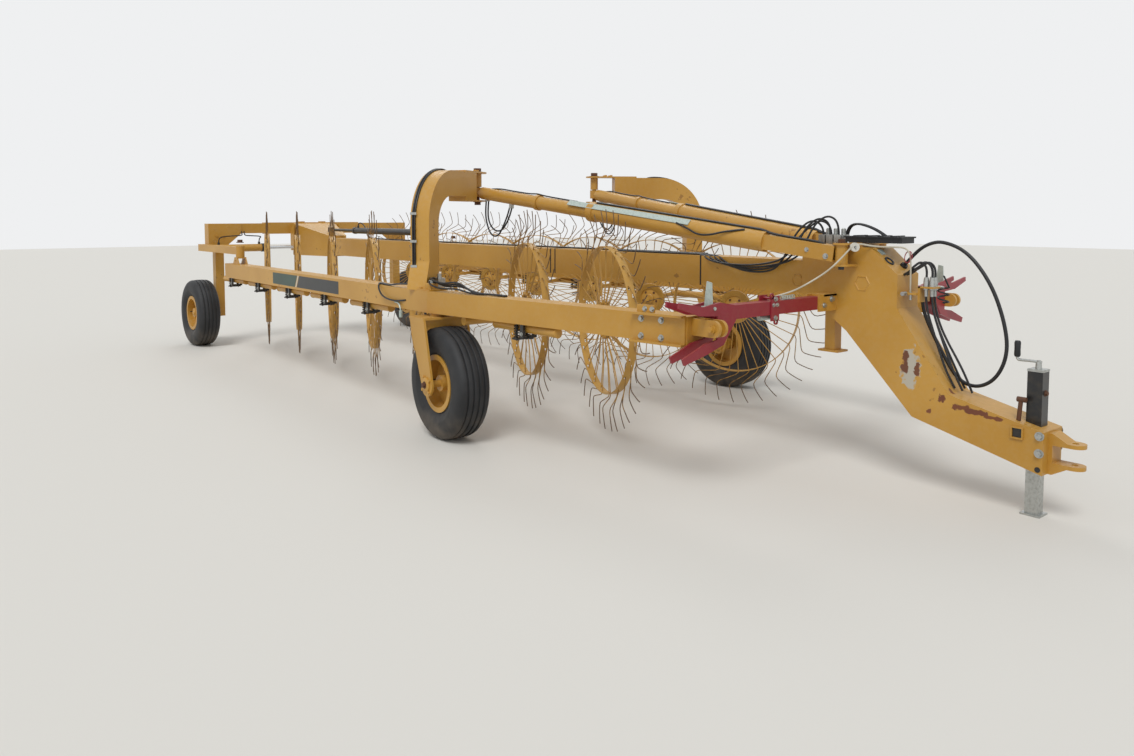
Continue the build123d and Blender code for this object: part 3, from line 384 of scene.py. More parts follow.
def geometry_tree(name: str, inputs: dict[str, str]) -> tuple[bpy.types.NodeTree, bpy.types.Node, bpy.types.Node]:
    """Starts a Geometry Nodes tree with named inputs.

    Args:
        name: The tree's name.
        inputs: Socket type of each named input.

    Returns:
        The tree, its input node and its output node.
    """
    tree = bpy.data.node_groups.new(name, "GeometryNodeTree")
    tree.interface.new_socket(name="Geometry", in_out="INPUT", socket_type="NodeSocketGeometry")
    for label, kind in inputs.items():
        tree.interface.new_socket(name=label, in_out="INPUT", socket_type=kind)
    tree.interface.new_socket(name="Geometry", in_out="OUTPUT", socket_type="NodeSocketGeometry")
    return tree, tree.nodes.new("NodeGroupInput"), tree.nodes.new("NodeGroupOutput")


def new_material(name: str) -> tuple[bpy.types.Material, bpy.types.NodeTree, bpy.types.Node]:
    """Starts a material and gives it, its tree and its shader."""
    material = bpy.data.materials.new(name)
    material.use_nodes = True
    tree = material.node_tree
    return material, tree, tree.nodes["Principled BSDF"]


@dataclass(frozen=True)
class Patch:
    """A worn place on a painted face: a soft-edged blot of another colour."""

    centre: tuple[float, float, float]
    size: tuple[float, float, float]
    colour: str
    ragged: float = 0.55


@dataclass(frozen=True)
class Enamel:
    """Sprayed machine enamel: an even colour that fades in wide clouds, gathers dust on top and chips to rust."""

    name: str
    colour: str
    faded: str
    dust: str = "#a08a63"
    chip: str = "#6a3a1f"
    dust_amount: float = 0.5
    chip_amount: float = 0.5
    roughness: float = 0.42
    patches: tuple[Patch, ...] = ()

    def build(self) -> bpy.types.Material:
        """Makes the material."""
        material, tree, shader = new_material(self.name)
        place = add_node(tree, "ShaderNodeTexCoord").outputs["Object"]
        clouds = add_node(tree, "ShaderNodeTexNoise", {"Vector": place, "Scale": 1.6, "Detail": 5.0}).outputs[0]
        cloud = add_node(
            tree, "ShaderNodeMapRange", {"Value": clouds, "From Min": 0.36, "From Max": 0.66}
        ).outputs[0]
        colour = add_node(
            tree, "ShaderNodeMix", {0: cloud, 6: linear(self.colour), 7: linear(self.faded)}, data_type="RGBA"
        ).outputs[2]
        # Dust lies on what faces up and in the hollows of a fine grain
        normal = add_node(tree, "ShaderNodeNewGeometry").outputs["Normal"]
        up = add_node(tree, "ShaderNodeSeparateXYZ", {0: normal}).outputs["Z"]
        lying = add_node(tree, "ShaderNodeMapRange", {"Value": up, "From Min": 0.2, "From Max": 1.0}).outputs[0]
        grain = add_node(tree, "ShaderNodeTexNoise", {"Vector": place, "Scale": 38.0, "Detail": 6.0}).outputs[0]
        grained = add_node(
            tree, "ShaderNodeMapRange", {"Value": grain, "From Min": 0.42, "From Max": 0.72, "To Max": 0.9}
        ).outputs[0]
        film = add_node(tree, "ShaderNodeMath", {0: lying, 1: 0.75}, operation="MULTIPLY").outputs[0]
        film = add_node(tree, "ShaderNodeMath", {0: film, 1: 0.22}, operation="ADD").outputs[0]
        film = add_node(tree, "ShaderNodeMath", {0: film, 1: grained}, operation="MULTIPLY").outputs[0]
        film = add_node(tree, "ShaderNodeMath", {0: film, 1: self.dust_amount}, operation="MULTIPLY").outputs[0]
        colour = add_node(
            tree, "ShaderNodeMix", {0: film, 6: colour, 7: linear(self.dust)}, data_type="RGBA"
        ).outputs[2]
        # Chips: rare spots of bare rusty steel, a few millimetres wide
        spots = add_node(tree, "ShaderNodeTexNoise", {"Vector": place, "Scale": 22.0, "Detail": 9.0}).outputs[0]
        spots = add_node(tree, "ShaderNodeMath", {0: spots, 1: clouds}, operation="MULTIPLY").outputs[0]
        chips = add_node(
            tree, "ShaderNodeMapRange", {"Value": spots, "From Min": 0.395, "From Max": 0.42}
        ).outputs[0]
        chips = add_node(tree, "ShaderNodeMath", {0: chips, 1: self.chip_amount}, operation="MULTIPLY").outputs[0]
        colour = add_node(
            tree, "ShaderNodeMix", {0: chips, 6: colour, 7: linear(self.chip)}, data_type="RGBA"
        ).outputs[2]
        for patch in self.patches:
            moved = add_node(
                tree, "ShaderNodeVectorMath", {0: place, 1: patch.centre}, operation="SUBTRACT"
            ).outputs[0]
            scaled = add_node(tree, "ShaderNodeVectorMath", {0: moved, 1: patch.size}, operation="DIVIDE").outputs[0]
            far = add_node(tree, "ShaderNodeVectorMath", {0: scaled}, operation="LENGTH").outputs["Value"]
            torn = add_node(tree, "ShaderNodeMath", {0: spots, 1: 3.2 * patch.ragged}, operation="MULTIPLY").outputs[0]
            far = add_node(tree, "ShaderNodeMath", {0: far, 1: torn}, operation="ADD").outputs[0]
            mask = add_node(
                tree,
                "ShaderNodeMapRange",
                {"Value": far, "From Min": 0.96, "From Max": 1.04, "To Min": 1.0, "To Max": 0.0},
            ).outputs[0]
            colour = add_node(
                tree, "ShaderNodeMix", {0: mask, 6: colour, 7: linear(patch.colour)}, data_type="RGBA"
            ).outputs[2]
        tree.links.new(colour, shader.inputs["Base Color"])
        rough = add_node(
            tree,
            "ShaderNodeMapRange",
            {"Value": film, "From Max": 0.4, "To Min": self.roughness, "To Max": self.roughness + 0.3},
        ).outputs[0]
        tree.links.new(rough, shader.inputs["Roughness"])
        # Orange peel: the slight waviness of sprayed paint
        peel = add_node(tree, "ShaderNodeTexNoise", {"Vector": place, "Scale": 160.0, "Detail": 2.0}).outputs[0]
        bump = add_node(tree, "ShaderNodeBump", {"Height": peel, "Strength": 0.06, "Distance": 0.002})
        tree.links.new(bump.outputs[0], shader.inputs["Normal"])
        shader.inputs["Coat Weight"].default_value = 0.12
        return material


@dataclass(frozen=True)
class Metal:
    """Bare or plated steel: zinc plate, galvanised sheet, hard chrome or brown spring wire."""

    name: str
    colour: str
    stain: str
    metallic: float = 1.0
    roughness: float = 0.35
    stain_amount: float = 0.5
    grain: float = 60.0

    def build(self) -> bpy.types.Material:
        """Makes the material."""
        material, tree, shader = new_material(self.name)
        place = add_node(tree, "ShaderNodeTexCoord").outputs["Object"]
        noise = add_node(tree, "ShaderNodeTexNoise", {"Vector": place, "Scale": self.grain, "Detail": 6.0}).outputs[0]
        mask = add_node(
            tree,
            "ShaderNodeMapRange",
            {"Value": noise, "From Min": 0.45, "From Max": 0.7, "To Max": self.stain_amount},
        ).outputs[0]
        colour = add_node(
            tree, "ShaderNodeMix", {0: mask, 6: linear(self.colour), 7: linear(self.stain)}, data_type="RGBA"
        ).outputs[2]
        tree.links.new(colour, shader.inputs["Base Color"])
        rough = add_node(
            tree, "ShaderNodeMapRange", {"Value": mask, "To Min": self.roughness, "To Max": self.roughness + 0.4}
        ).outputs[0]
        tree.links.new(rough, shader.inputs["Roughness"])
        bump = add_node(tree, "ShaderNodeBump", {"Height": noise, "Strength": 0.08, "Distance": 0.001})
        tree.links.new(bump.outputs[0], shader.inputs["Normal"])
        shader.inputs["Metallic"].default_value = self.metallic
        return material


@dataclass(frozen=True)
class Rubber:
    """Moulded or extruded rubber and plastic: black, greyed by weather, with dried mud where it met the ground."""

    name: str
    colour: str
    bloom: str
    mud: str = "#6e6151"
    mud_height: float = 0.0
    roughness: float = 0.62
    grain: float = 90.0

    def build(self) -> bpy.types.Material:
        """Makes the material."""
        material, tree, shader = new_material(self.name)
        place = add_node(tree, "ShaderNodeTexCoord").outputs["Object"]
        wide = add_node(tree, "ShaderNodeTexNoise", {"Vector": place, "Scale": 7.0, "Detail": 7.0}).outputs[0]
        mask = add_node(tree, "ShaderNodeMapRange", {"Value": wide, "From Min": 0.35, "From Max": 0.7}).outputs[0]
        colour = add_node(
            tree, "ShaderNodeMix", {0: mask, 6: linear(self.colour), 7: linear(self.bloom)}, data_type="RGBA"
        ).outputs[2]
        if self.mud_height > 0.0:
            height = add_node(tree, "ShaderNodeSeparateXYZ", {0: place}).outputs["Z"]
            low = add_node(
                tree,
                "ShaderNodeMapRange",
                {"Value": height, "From Max": self.mud_height, "To Min": 0.85, "To Max": 0.0},
            ).outputs[0]
            low = add_node(tree, "ShaderNodeMath", {0: low, 1: mask}, operation="MULTIPLY").outputs[0]
            colour = add_node(
                tree, "ShaderNodeMix", {0: low, 6: colour, 7: linear(self.mud)}, data_type="RGBA"
            ).outputs[2]
        tree.links.new(colour, shader.inputs["Base Color"])
        fine = add_node(tree, "ShaderNodeTexNoise", {"Vector": place, "Scale": self.grain, "Detail": 3.0}).outputs[0]
        bump = add_node(tree, "ShaderNodeBump", {"Height": fine, "Strength": 0.15, "Distance": 0.002})
        tree.links.new(bump.outputs[0], shader.inputs["Normal"])
        shader.inputs["Roughness"].default_value = self.roughness
        return material


@dataclass(frozen=True)
class SpringWire:
    """Painted spring wire: golden enamel inside the rim, worn to brown steel where the tines meet the crop."""

    name: str
    paint: str
    bare: str
    worn_from: float = 0.500
    worn_to: float = 0.640

    def build(self) -> bpy.types.Material:
        """Makes the material, which reads how far out each point of the wire is."""
        material, tree, shader = new_material(self.name)
        place = add_node(tree, "ShaderNodeTexCoord").outputs["Object"]
        reach = add_node(tree, "ShaderNodeAttribute", attribute_name="reach").outputs["Fac"]
        # Rust comes in blots a few centimetres long
        blots = add_node(tree, "ShaderNodeTexNoise", {"Vector": place, "Scale": 24.0, "Detail": 5.0}).outputs[0]
        uneven = add_node(
            tree, "ShaderNodeMapRange", {"Value": blots, "From Min": 0.3, "From Max": 0.7, "To Min": -0.09, "To Max": 0.09}
        ).outputs[0]
        reach = add_node(tree, "ShaderNodeMath", {0: reach, 1: uneven}, operation="ADD").outputs[0]
        worn = add_node(
            tree, "ShaderNodeMapRange", {"Value": reach, "From Min": self.worn_from, "From Max": self.worn_to}
        ).outputs[0]
        colour = add_node(
            tree, "ShaderNodeMix", {0: worn, 6: linear(self.paint), 7: linear(self.bare)}, data_type="RGBA"
        ).outputs[2]
        tree.links.new(colour, shader.inputs["Base Color"])
        bump = add_node(tree, "ShaderNodeBump", {"Height": blots, "Strength": 0.1, "Distance": 0.001})
        tree.links.new(bump.outputs[0], shader.inputs["Normal"])
        shader.inputs["Roughness"].default_value = 0.5
        return material


class Frames:
    """Places on the machine's sloping members, all for the right-hand side."""

    boom_front = Vector((ahead(7.965), -0.205, 1.3183))
    boom_back = Vector((ahead(4.810), -0.640, 1.737))
    boom_run = (boom_back - boom_front).normalized()
    boom_out = Vector((0.0, 0.0, 1.0)).cross(boom_run).normalized()
    boom_up = boom_run.cross(boom_out)
    arch_run = Vector((-0.490, 0.790, 0.0)).normalized()
    arch_side = arch_run.cross(Vector((0.0, 0.0, 1.0)))
    caster_run = Vector((math.cos(math.radians(-4.0)), math.sin(math.radians(-4.0)), 0.0))
    caster_axle = Vector((-caster_run.y, caster_run.x, 0.0))
    front_run = Vector((2.220, 0.250, 0.0)).normalized()
    rear_run = Vector((4.550, -0.120, 0.0)).normalized()

    @classmethod
    def boom(cls, along: float, up: float = 0.0, out: float = 0.0) -> Vector:
        """A place by the boom, from its front pin."""
        return cls.boom_front + cls.boom_run * along + cls.boom_up * up + cls.boom_out * out

    @classmethod
    def boom_matrix(cls, along: float, up: float, out: float, turn: float = 0.0) -> Matrix:
        """A place by the boom with X along it, Y outboard and Z up, turned about X."""
        axes = Matrix((cls.boom_run, cls.boom_out, cls.boom_up)).transposed().to_4x4()
        return Matrix.Translation(cls.boom(along, up, out)) @ axes @ Matrix.Rotation(turn, 4, "X")

    @classmethod
    def arch(cls, along: float, height: float, side: float = 0.0) -> Vector:
        """A place by the arch, from its post's middle."""
        return Vector((ahead(5.300), -1.430, height)) + cls.arch_run * along + cls.arch_side * side

    @classmethod
    def caster(cls, along: float, across: float, height: float) -> Vector:
        """A place by the caster fork, from its spindle; across runs inboard."""
        return Vector((ahead(5.565), -1.480, height)) + cls.caster_run * along + cls.caster_axle * across

    @classmethod
    def front_arm(cls, back: float, out: float, height: float) -> Vector:
        """A place by the arm's front part, from its front end."""
        side = cls.front_run.cross(Vector((0.0, 0.0, 1.0)))
        return Vector((ahead(7.750), -1.230, height)) - cls.front_run * back + side * out

    @classmethod
    def rear_arm(cls, distance: float, out: float, height: float) -> Vector:
        """A place by the arm's rear part, at a distance ahead of the cross tube."""
        share = (distance - 0.980) / 4.550
        side = cls.rear_run.cross(Vector((0.0, 0.0, 1.0)))
        return Vector((ahead(distance), -1.360 - 0.120 * share, height)) + side * out


def show_pair(name: str, shape: Shape, body: str, finish: bpy.types.Material) -> None:
    """Shows a right-hand shape and its mirror image on the left.

    Args:
        name: The pieces' name without the side.
        shape: The right-hand shape.
        body: The body's name without the side, or frame.
        finish: The material.
    """
    for side in Side:
        own = shape if side is Side.RIGHT else shape.mirrored()
        owner = body if body == "frame" else f"{body}_{side.word}"
        show(f"{name}_{side.word}", own.mesh(name), owner, finish)


class Finishes:
    """Every finish of the machine, by the record's slot or by its own name."""

    def __init__(self) -> None:
        """Builds the materials."""
        neck_wear = (
            Patch((ahead(8.368), -0.114, 0.700), (0.125, 0.05, 0.270), "#b9b2a2", 0.60),
            Patch((ahead(8.326), -0.114, 0.716), (0.055, 0.05, 0.155), "#6b3f27", 0.70),
            Patch((ahead(8.402), -0.114, 0.690), (0.046, 0.05, 0.185), "#714328", 0.70),
            Patch((ahead(8.545), -0.114, 0.548), (0.090, 0.05, 0.052), "#6e3a20", 0.85),
            Patch((ahead(8.640), -0.114, 0.520), (0.150, 0.05, 0.044), "#75401f", 0.85),
            Patch((ahead(8.745), -0.114, 0.506), (0.170, 0.05, 0.036), "#6e3a20", 0.85),
            Patch((ahead(8.830), -0.114, 0.492), (0.120, 0.05, 0.030), "#75401f", 0.85),
            Patch((ahead(8.470), -0.114, 0.465), (0.050, 0.05, 0.042), "#7a4526", 0.80),
            Patch((ahead(8.600), -0.070, 0.596), (0.200, 0.05, 0.060), "#7a4a2a", 0.80),
        )
        self.yellow = Enamel("yellow_machine_enamel", "#b98830", "#c69640", "#bfa57a", dust_amount=0.6).build()
        self.neck = Enamel(
            "yellow_machine_enamel_worn", "#b98830", "#c69640", "#bfa57a", dust_amount=0.6, patches=neck_wear
        ).build()
        self.red = Enamel("red_machine_enamel", "#8c1b2b", "#96303a", dust_amount=0.25).build()
        self.black = Enamel("black_machine_enamel", "#17181a", "#222326", dust_amount=0.3, roughness=0.35).build()
        self.tine = SpringWire("weathered_spring_wire", "#b58a40", "#664d31").build()
        self.pressed = Enamel("pressed_steel_enamel", "#b58632", "#c39848", chip_amount=0.8).build()
        self.zinc = Metal("dull_zinc_plate", "#b9bbb8", "#8c8b84", roughness=0.38).build()
        self.galvanised = Metal("galvanised_sheet", "#b9c4bd", "#96a39c", metallic=0.5, roughness=0.5).build()
        self.chrome = Metal("hard_chrome", "#d6d8da", "#b8babc", roughness=0.12, stain_amount=0.2).build()
        self.iron = Metal("rusty_iron", "#5d4030", "#7a4a2c", metallic=0.2, roughness=0.7).build()
        self.tyre = Rubber("weathered_tyre_rubber", "#1b1c1e", "#2b2c2e", mud_height=0.25).build()
        self.hose = Rubber("smooth_hose_cover", "#151618", "#232427", roughness=0.45).build()
        self.plastic = Rubber("satin_black_plastic", "#141517", "#1f2022", roughness=0.5).build()
        self.nylon = Rubber("white_nylon", "#d8d6cc", "#c4c0b2", roughness=0.5).build()
        self.green = Rubber("dark_green_decal_film", "#1f3a2c", "#28463a", roughness=0.35).build()
        self.film = Rubber("black_decal_film", "#191b1c", "#242628", roughness=0.3).build()
        self.rope = Rubber("braided_rope", "#c9c3b2", "#a9a08a", roughness=0.85).build()
        self.by_slot = {
            "yellow_paint": self.yellow,
            "yellow_tine": self.tine,
            "red_paint": self.red,
            "black_paint": self.black,
            "zinc_plate": self.zinc,
            "chrome_rod": self.chrome,
            "tyre_rubber": self.tyre,
            "hose_rubber": self.hose,
            "black_plastic": self.plastic,
            "white_rope": self.rope,
        }

    def dress_nodes(self, frame: dict[str, Any]) -> None:
        """Gives every CAD node the finish of its slot."""
        slots = {row["node"]: row["material_slot"] for row in frame["record"]["subparts"]}
        for name, node in frame["nodes"].items():
            node.data.materials.clear()
            node.data.materials.append(self.neck if name == "gooseneck" else self.by_slot[slots[name]])


@dataclass
class Cords:
    """The supply hose that loops in front of the neck, and the pull rope from the latch to the shelf."""

    finishes: Finishes
    hose_width: float = 0.020
    rope_width: float = 0.010
    hose_length: float = 1.90
    rope_length: float = 1.80
    hose_y: float = 0.030
    bow_width: float = 0.013
    bow_lengths: tuple[float, float] = (0.70, 0.64)

    def line(
        self,
        name: str,
        points: Sequence[Sequence[float]],
        width: float,
        finish: bpy.types.Material,
        body: str = "frame",
    ) -> bpy.types.Object:
        """Makes one cord as a smooth curve.

        Args:
            name: The piece's name.
            points: The spline's control points.
            width: The cord's diameter.
            finish: Its material.
            body: The body that it rides on.

        Returns:
            The curve's object.
        """
        curve = bpy.data.curves.new(name, "CURVE")
        curve.dimensions = "3D"
        curve.bevel_depth = width / 2
        curve.bevel_resolution = 4
        curve.resolution_u = 10
        curve.use_fill_caps = True
        spline = curve.splines.new("NURBS")
        spline.points.add(len(points) - 1)
        for spot, point in zip(spline.points, points):
            spot.co = (*point, 1.0)
        spline.order_u = 3
        spline.use_endpoint_u = True
        curve.materials.append(finish)
        piece = bpy.data.objects.new(name, curve)
        bpy.context.scene.collection.objects.link(piece)
        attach(piece, body)
        return piece

    def bows(self) -> None:
        """Makes the two hoses that hang in a bow from each boom's rear end and come back to its underside."""
        for side in Side:
            for number, shift, drop, length in (
                (1, 0.010, 0.330, self.bow_lengths[0]),
                (2, -0.016, 0.288, self.bow_lengths[1]),
            ):
                points = [
                    Frames.boom(3.085, -0.024, shift),
                    Frames.boom(3.088, -0.110, shift),
                    Frames.boom(3.070, -0.220, shift),
                    Frames.boom(2.995, -drop, shift),
                    Frames.boom(2.905, -drop + 0.006, shift),
                    Frames.boom(2.845, -0.200, shift),
                    Frames.boom(2.812, -0.110, shift),
                    Frames.boom(2.800, -0.044, shift),
                ]
                placed = [(p.x, -side.value * p.y, p.z) for p in points]
                bow = self.line(f"bow_hose_{number}_{side.word}", placed, self.bow_width, self.finishes.hose,
                                f"boom_inner_{side.word}")

    def build(self) -> None:
        self.bows()
        y = self.hose_y
        hose_points = [
            (ahead(8.222), y, 1.25235),
            (ahead(8.2948), y, 1.3348),
            (ahead(8.370), y, 1.388),
            (ahead(8.460), y, 1.404),
            (ahead(8.600), y, 1.348),
            (ahead(8.730), y, 1.185),
            (ahead(8.808), y, 0.985),
            (ahead(8.832), y, 0.815),
            (ahead(8.775), y, 0.670),
            (ahead(8.668), y, 0.606),
            (ahead(8.560), y, 0.640),
            (ahead(8.472), y, 0.775),
            (ahead(8.392), y, 0.915),
            (ahead(8.345), y, 1.025),
            (ahead(8.345), y, 1.100),
        ]
        hose = self.line("supply_hose_cover", hose_points, self.hose_width, self.finishes.hose)
        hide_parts("supply_hose")
        rope_points = [
            (ahead(7.7805), -1.217, 1.062),
            (ahead(7.708), -1.217, 1.062),
            (ahead(7.708), -1.080, 1.048),
            (ahead(7.718), -0.935, 1.022),
            (ahead(7.733), -0.800, 1.020),
            (ahead(7.758), -0.700, 1.046),
            (ahead(7.790), -0.640, 1.078),
            (ahead(7.862), -0.530, 1.112),
            (ahead(7.910), -0.440, 1.160),
            (ahead(7.968), -0.335, 1.230),
            (ahead(8.006), -0.263, 1.303),
            (ahead(8.046), -0.190, 1.390),
            (ahead(8.112), -0.112, 1.368),
            (ahead(8.200), -0.078, 1.366),
            (ahead(8.312), -0.060, 1.366),
            (ahead(8.320), -0.060, 1.238),
            (ahead(8.320), -0.060, 1.112),
        ]
        rope = self.line("pull_rope_braid", rope_points, self.rope_width, self.finishes.rope)
        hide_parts("pull_rope")


@dataclass
class Fasteners:
    """Bolt heads, nuts and pin heads: a tree sets a head with its washer on every point of a mesh."""

    finishes: Finishes
    rows: dict[tuple[str, str], list[tuple[Vector, Vector, float]]] = field(default_factory=dict)

    def add(
        self, body: str, metal: str, point: Sequence[float], direction: Sequence[float], across: float
    ) -> None:
        """Notes one fastener.

        Args:
            body: The body that it moves with.
            metal: Its finish by name.
            point: The middle of the face that it sits on.
            direction: Where its head points.
            across: Its width across the flats.
        """
        row = self.rows.setdefault((body, metal), [])
        row.append((Vector(point), Vector(direction), across))

    def pair(
        self, body: str, metal: str, point: Sequence[float], direction: Sequence[float], across: float
    ) -> None:
        """Notes a fastener on the right and its mirror image on the left."""
        for side in Side:
            flip = Vector((1.0, -float(side.value), 1.0))
            name = body if body == "frame" else f"{body}_{side.word}"
            self.add(name, metal, Vector(point) * flip, Vector(direction) * flip, across)

    def head_tree(self) -> bpy.types.NodeTree:
        """A tree that sets a hex head and a washer on each point, turned and sized by the point's attributes."""
        tree, start, end = geometry_tree(
            "heads_on_points", {"Corners": "NodeSocketInt", "Finish": "NodeSocketMaterial"}
        )
        head = add_node(
            tree, "GeometryNodeMeshCylinder", {"Vertices": start.outputs["Corners"], "Radius": 0.55, "Depth": 0.55}
        ).outputs[0]
        head = add_node(tree, "GeometryNodeTransform", {"Geometry": head, "Translation": (0.0, 0.0, 0.3)}).outputs[0]
        washer = add_node(tree, "GeometryNodeMeshCylinder", {"Vertices": 16, "Radius": 0.78, "Depth": 0.16}).outputs[0]
        whole = add_node(tree, "GeometryNodeJoinGeometry", {0: head}).outputs[0]
        tree.links.new(washer, whole.node.inputs[0])
        turn = add_node(
            tree, "GeometryNodeInputNamedAttribute", {"Name": "turn"}, data_type="FLOAT_VECTOR"
        ).outputs[0]
        across = add_node(tree, "GeometryNodeInputNamedAttribute", {"Name": "across"}, data_type="FLOAT").outputs[0]
        heads = add_node(
            tree,
            "GeometryNodeInstanceOnPoints",
            {"Points": start.outputs["Geometry"], "Instance": whole, "Rotation": turn, "Scale": across},
        ).outputs[0]
        solid = add_node(tree, "GeometryNodeRealizeInstances", {"Geometry": heads}).outputs[0]
        dressed = add_node(
            tree, "GeometryNodeSetMaterial", {"Geometry": solid, "Material": start.outputs["Finish"]}
        ).outputs[0]
        tree.links.new(dressed, end.inputs[0])
        return tree

    def build(self) -> None:
        """Makes one mesh of heads for each body and metal."""
        tree = self.head_tree()
        for (body, metal), row in sorted(self.rows.items()):
            points = bpy.data.meshes.new("head_places")
            points.from_pydata([tuple(point) for point, _, _ in row], [], [])
            points.attributes.new("turn", "FLOAT_VECTOR", "POINT")
            points.attributes.new("across", "FLOAT", "POINT")
            # Both are fetched afterwards, as adding one moves the other's data
            turns = points.attributes["turn"].data
            sizes = points.attributes["across"].data
            for spot, (_, direction, across) in enumerate(row):
                turns[spot].vector = direction.to_track_quat("Z", "Y").to_euler()
                sizes[spot].value = across
            finish = getattr(self.finishes, metal)
            heads = outward(grow(tree, points, {"Corners": 6, "Finish": finish}))
            show(f"{metal}_fasteners_{body}", heads, body, finish)


@dataclass
class RakeWheels:
    """The fourteen tined wheels: a bolted hub, wire tines in pairs and a rim that they pass through."""

    finishes: Finishes
    fasteners: Fasteners
    pairs: int = 20
    rim_radius: float = 0.507
    rim_width: float = 0.055
    rim_wall: float = 0.005
    wire: float = 0.0035
    plate_radius: float = 0.125
    wire_side: float = -0.0125
    loop_radius: float = 0.118
    stagger: float = 0.010

    def tine(self, angle: float, side: float) -> list[Vector]:
        """One tine from the hub to its tip.

        Args:
            angle: Its place round the wheel.
            side: How far to one side of the wheel's middle plane it passes through the rim.

        Returns:
            The points of its middle line.
        """
        flat = [
            (0.150, 0.0, 0.3),
            (0.300, 0.0, 0.6),
            (0.500, 0.0, 1.0),
            (0.516, 0.002, 1.0),
            (0.532, 0.022, 1.0),
            (0.548, 0.066, 1.0),
            (0.566, 0.120, 0.9),
            (0.580, 0.158, 0.8),
            (0.594, 0.178, 0.8),
            (0.616, 0.186, 0.7),
            (0.660, 0.186, 0.5),
            (0.705, 0.183, 0.4),
            (0.738, 0.177, 0.3),
        ]
        turn = Matrix.Rotation(angle, 3, "Z")
        return [turn @ Vector((x, y, side * share)) for x, y, share in flat]

    def pair_line(self) -> bpy.types.Mesh:
        """The wire of one pair of tines, which is bent round its bolt on the hub."""
        half = math.tau / self.pairs / 4
        first = self.tine(-half, self.stagger)[::-1]
        last = self.tine(half, -self.stagger)
        loop = []
        for degrees in (-55, -85, -120, -155, 180, 155, 120, 85, 55):
            angle = math.radians(degrees)
            x = self.loop_radius + 0.016 * math.cos(angle)
            loop.append(Vector((x, 0.016 * math.sin(angle), -0.002 if degrees > 0 else 0.002)))
        points = first + loop + last
        mesh = bpy.data.meshes.new("pair_line")
        mesh.from_pydata(
            [tuple(p + Vector((0.0, 0.0, self.wire_side if p.length < 0.2 else 0.0))) for p in points],
            [(i, i + 1) for i in range(len(points) - 1)],
            [],
        )
        return mesh

    def tine_tree(self) -> bpy.types.NodeTree:
        """A tree that sweeps wire along a line, keeps its reach for the finish and repeats it round the wheel."""
        tree, start, end = geometry_tree(
            "tines_round_hub",
            {"Pairs": "NodeSocketInt", "Wire": "NodeSocketFloat", "Finish": "NodeSocketMaterial"},
        )
        line = add_node(tree, "GeometryNodeMeshToCurve", {"Mesh": start.outputs["Geometry"]}).outputs[0]
        section = add_node(
            tree, "GeometryNodeCurvePrimitiveCircle", {"Resolution": 5, "Radius": start.outputs["Wire"]}
        ).outputs[0]
        wire = add_node(
            tree, "GeometryNodeCurveToMesh", {"Curve": line, "Profile Curve": section, "Fill Caps": True}
        ).outputs[0]
        place = add_node(tree, "GeometryNodeInputPosition").outputs[0]
        reach = add_node(tree, "ShaderNodeVectorMath", {0: place}, operation="LENGTH").outputs["Value"]
        wire = add_node(
            tree,
            "GeometryNodeStoreNamedAttribute",
            {"Geometry": wire, "Name": "reach", "Value": reach},
            data_type="FLOAT",
            domain="POINT",
        ).outputs[0]
        spots = add_node(
            tree, "GeometryNodeMeshCircle", {"Vertices": start.outputs["Pairs"], "Radius": 0.0}
        ).outputs[0]
        number = add_node(tree, "GeometryNodeInputIndex").outputs[0]
        step = add_node(tree, "ShaderNodeMath", {0: math.tau, 1: start.outputs["Pairs"]}, operation="DIVIDE").outputs[0]
        angle = add_node(tree, "ShaderNodeMath", {0: number, 1: step}, operation="MULTIPLY").outputs[0]
        turn = add_node(tree, "ShaderNodeCombineXYZ", {"Z": angle}).outputs[0]
        ring = add_node(
            tree, "GeometryNodeInstanceOnPoints", {"Points": spots, "Instance": wire, "Rotation": turn}
        ).outputs[0]
        solid = add_node(tree, "GeometryNodeRealizeInstances", {"Geometry": ring}).outputs[0]
        dressed = add_node(
            tree, "GeometryNodeSetMaterial", {"Geometry": solid, "Material": start.outputs["Finish"]}
        ).outputs[0]
        tree.links.new(dressed, end.inputs[0])
        return tree

    def rim_and_hub(self) -> Shape:
        """The hoop with two staggered rows of slots, the dished hub plate and the boss."""
        shape = Shape()
        columns = self.pairs * 6
        levels = (-0.0275, -0.0150, -0.0050, 0.0050, 0.0150, 0.0275)
        ring = []
        for radius in (self.rim_radius, self.rim_radius - self.rim_wall):
            for step in range(columns):
                angle = math.tau * (step - 0.5) / columns
                ring.extend((radius * math.cos(angle), radius * math.sin(angle), level) for level in levels)
        rows = len(levels)

        def corner(layer: int, step: int, level: int) -> int:
            return (layer * columns + step % columns) * rows + level

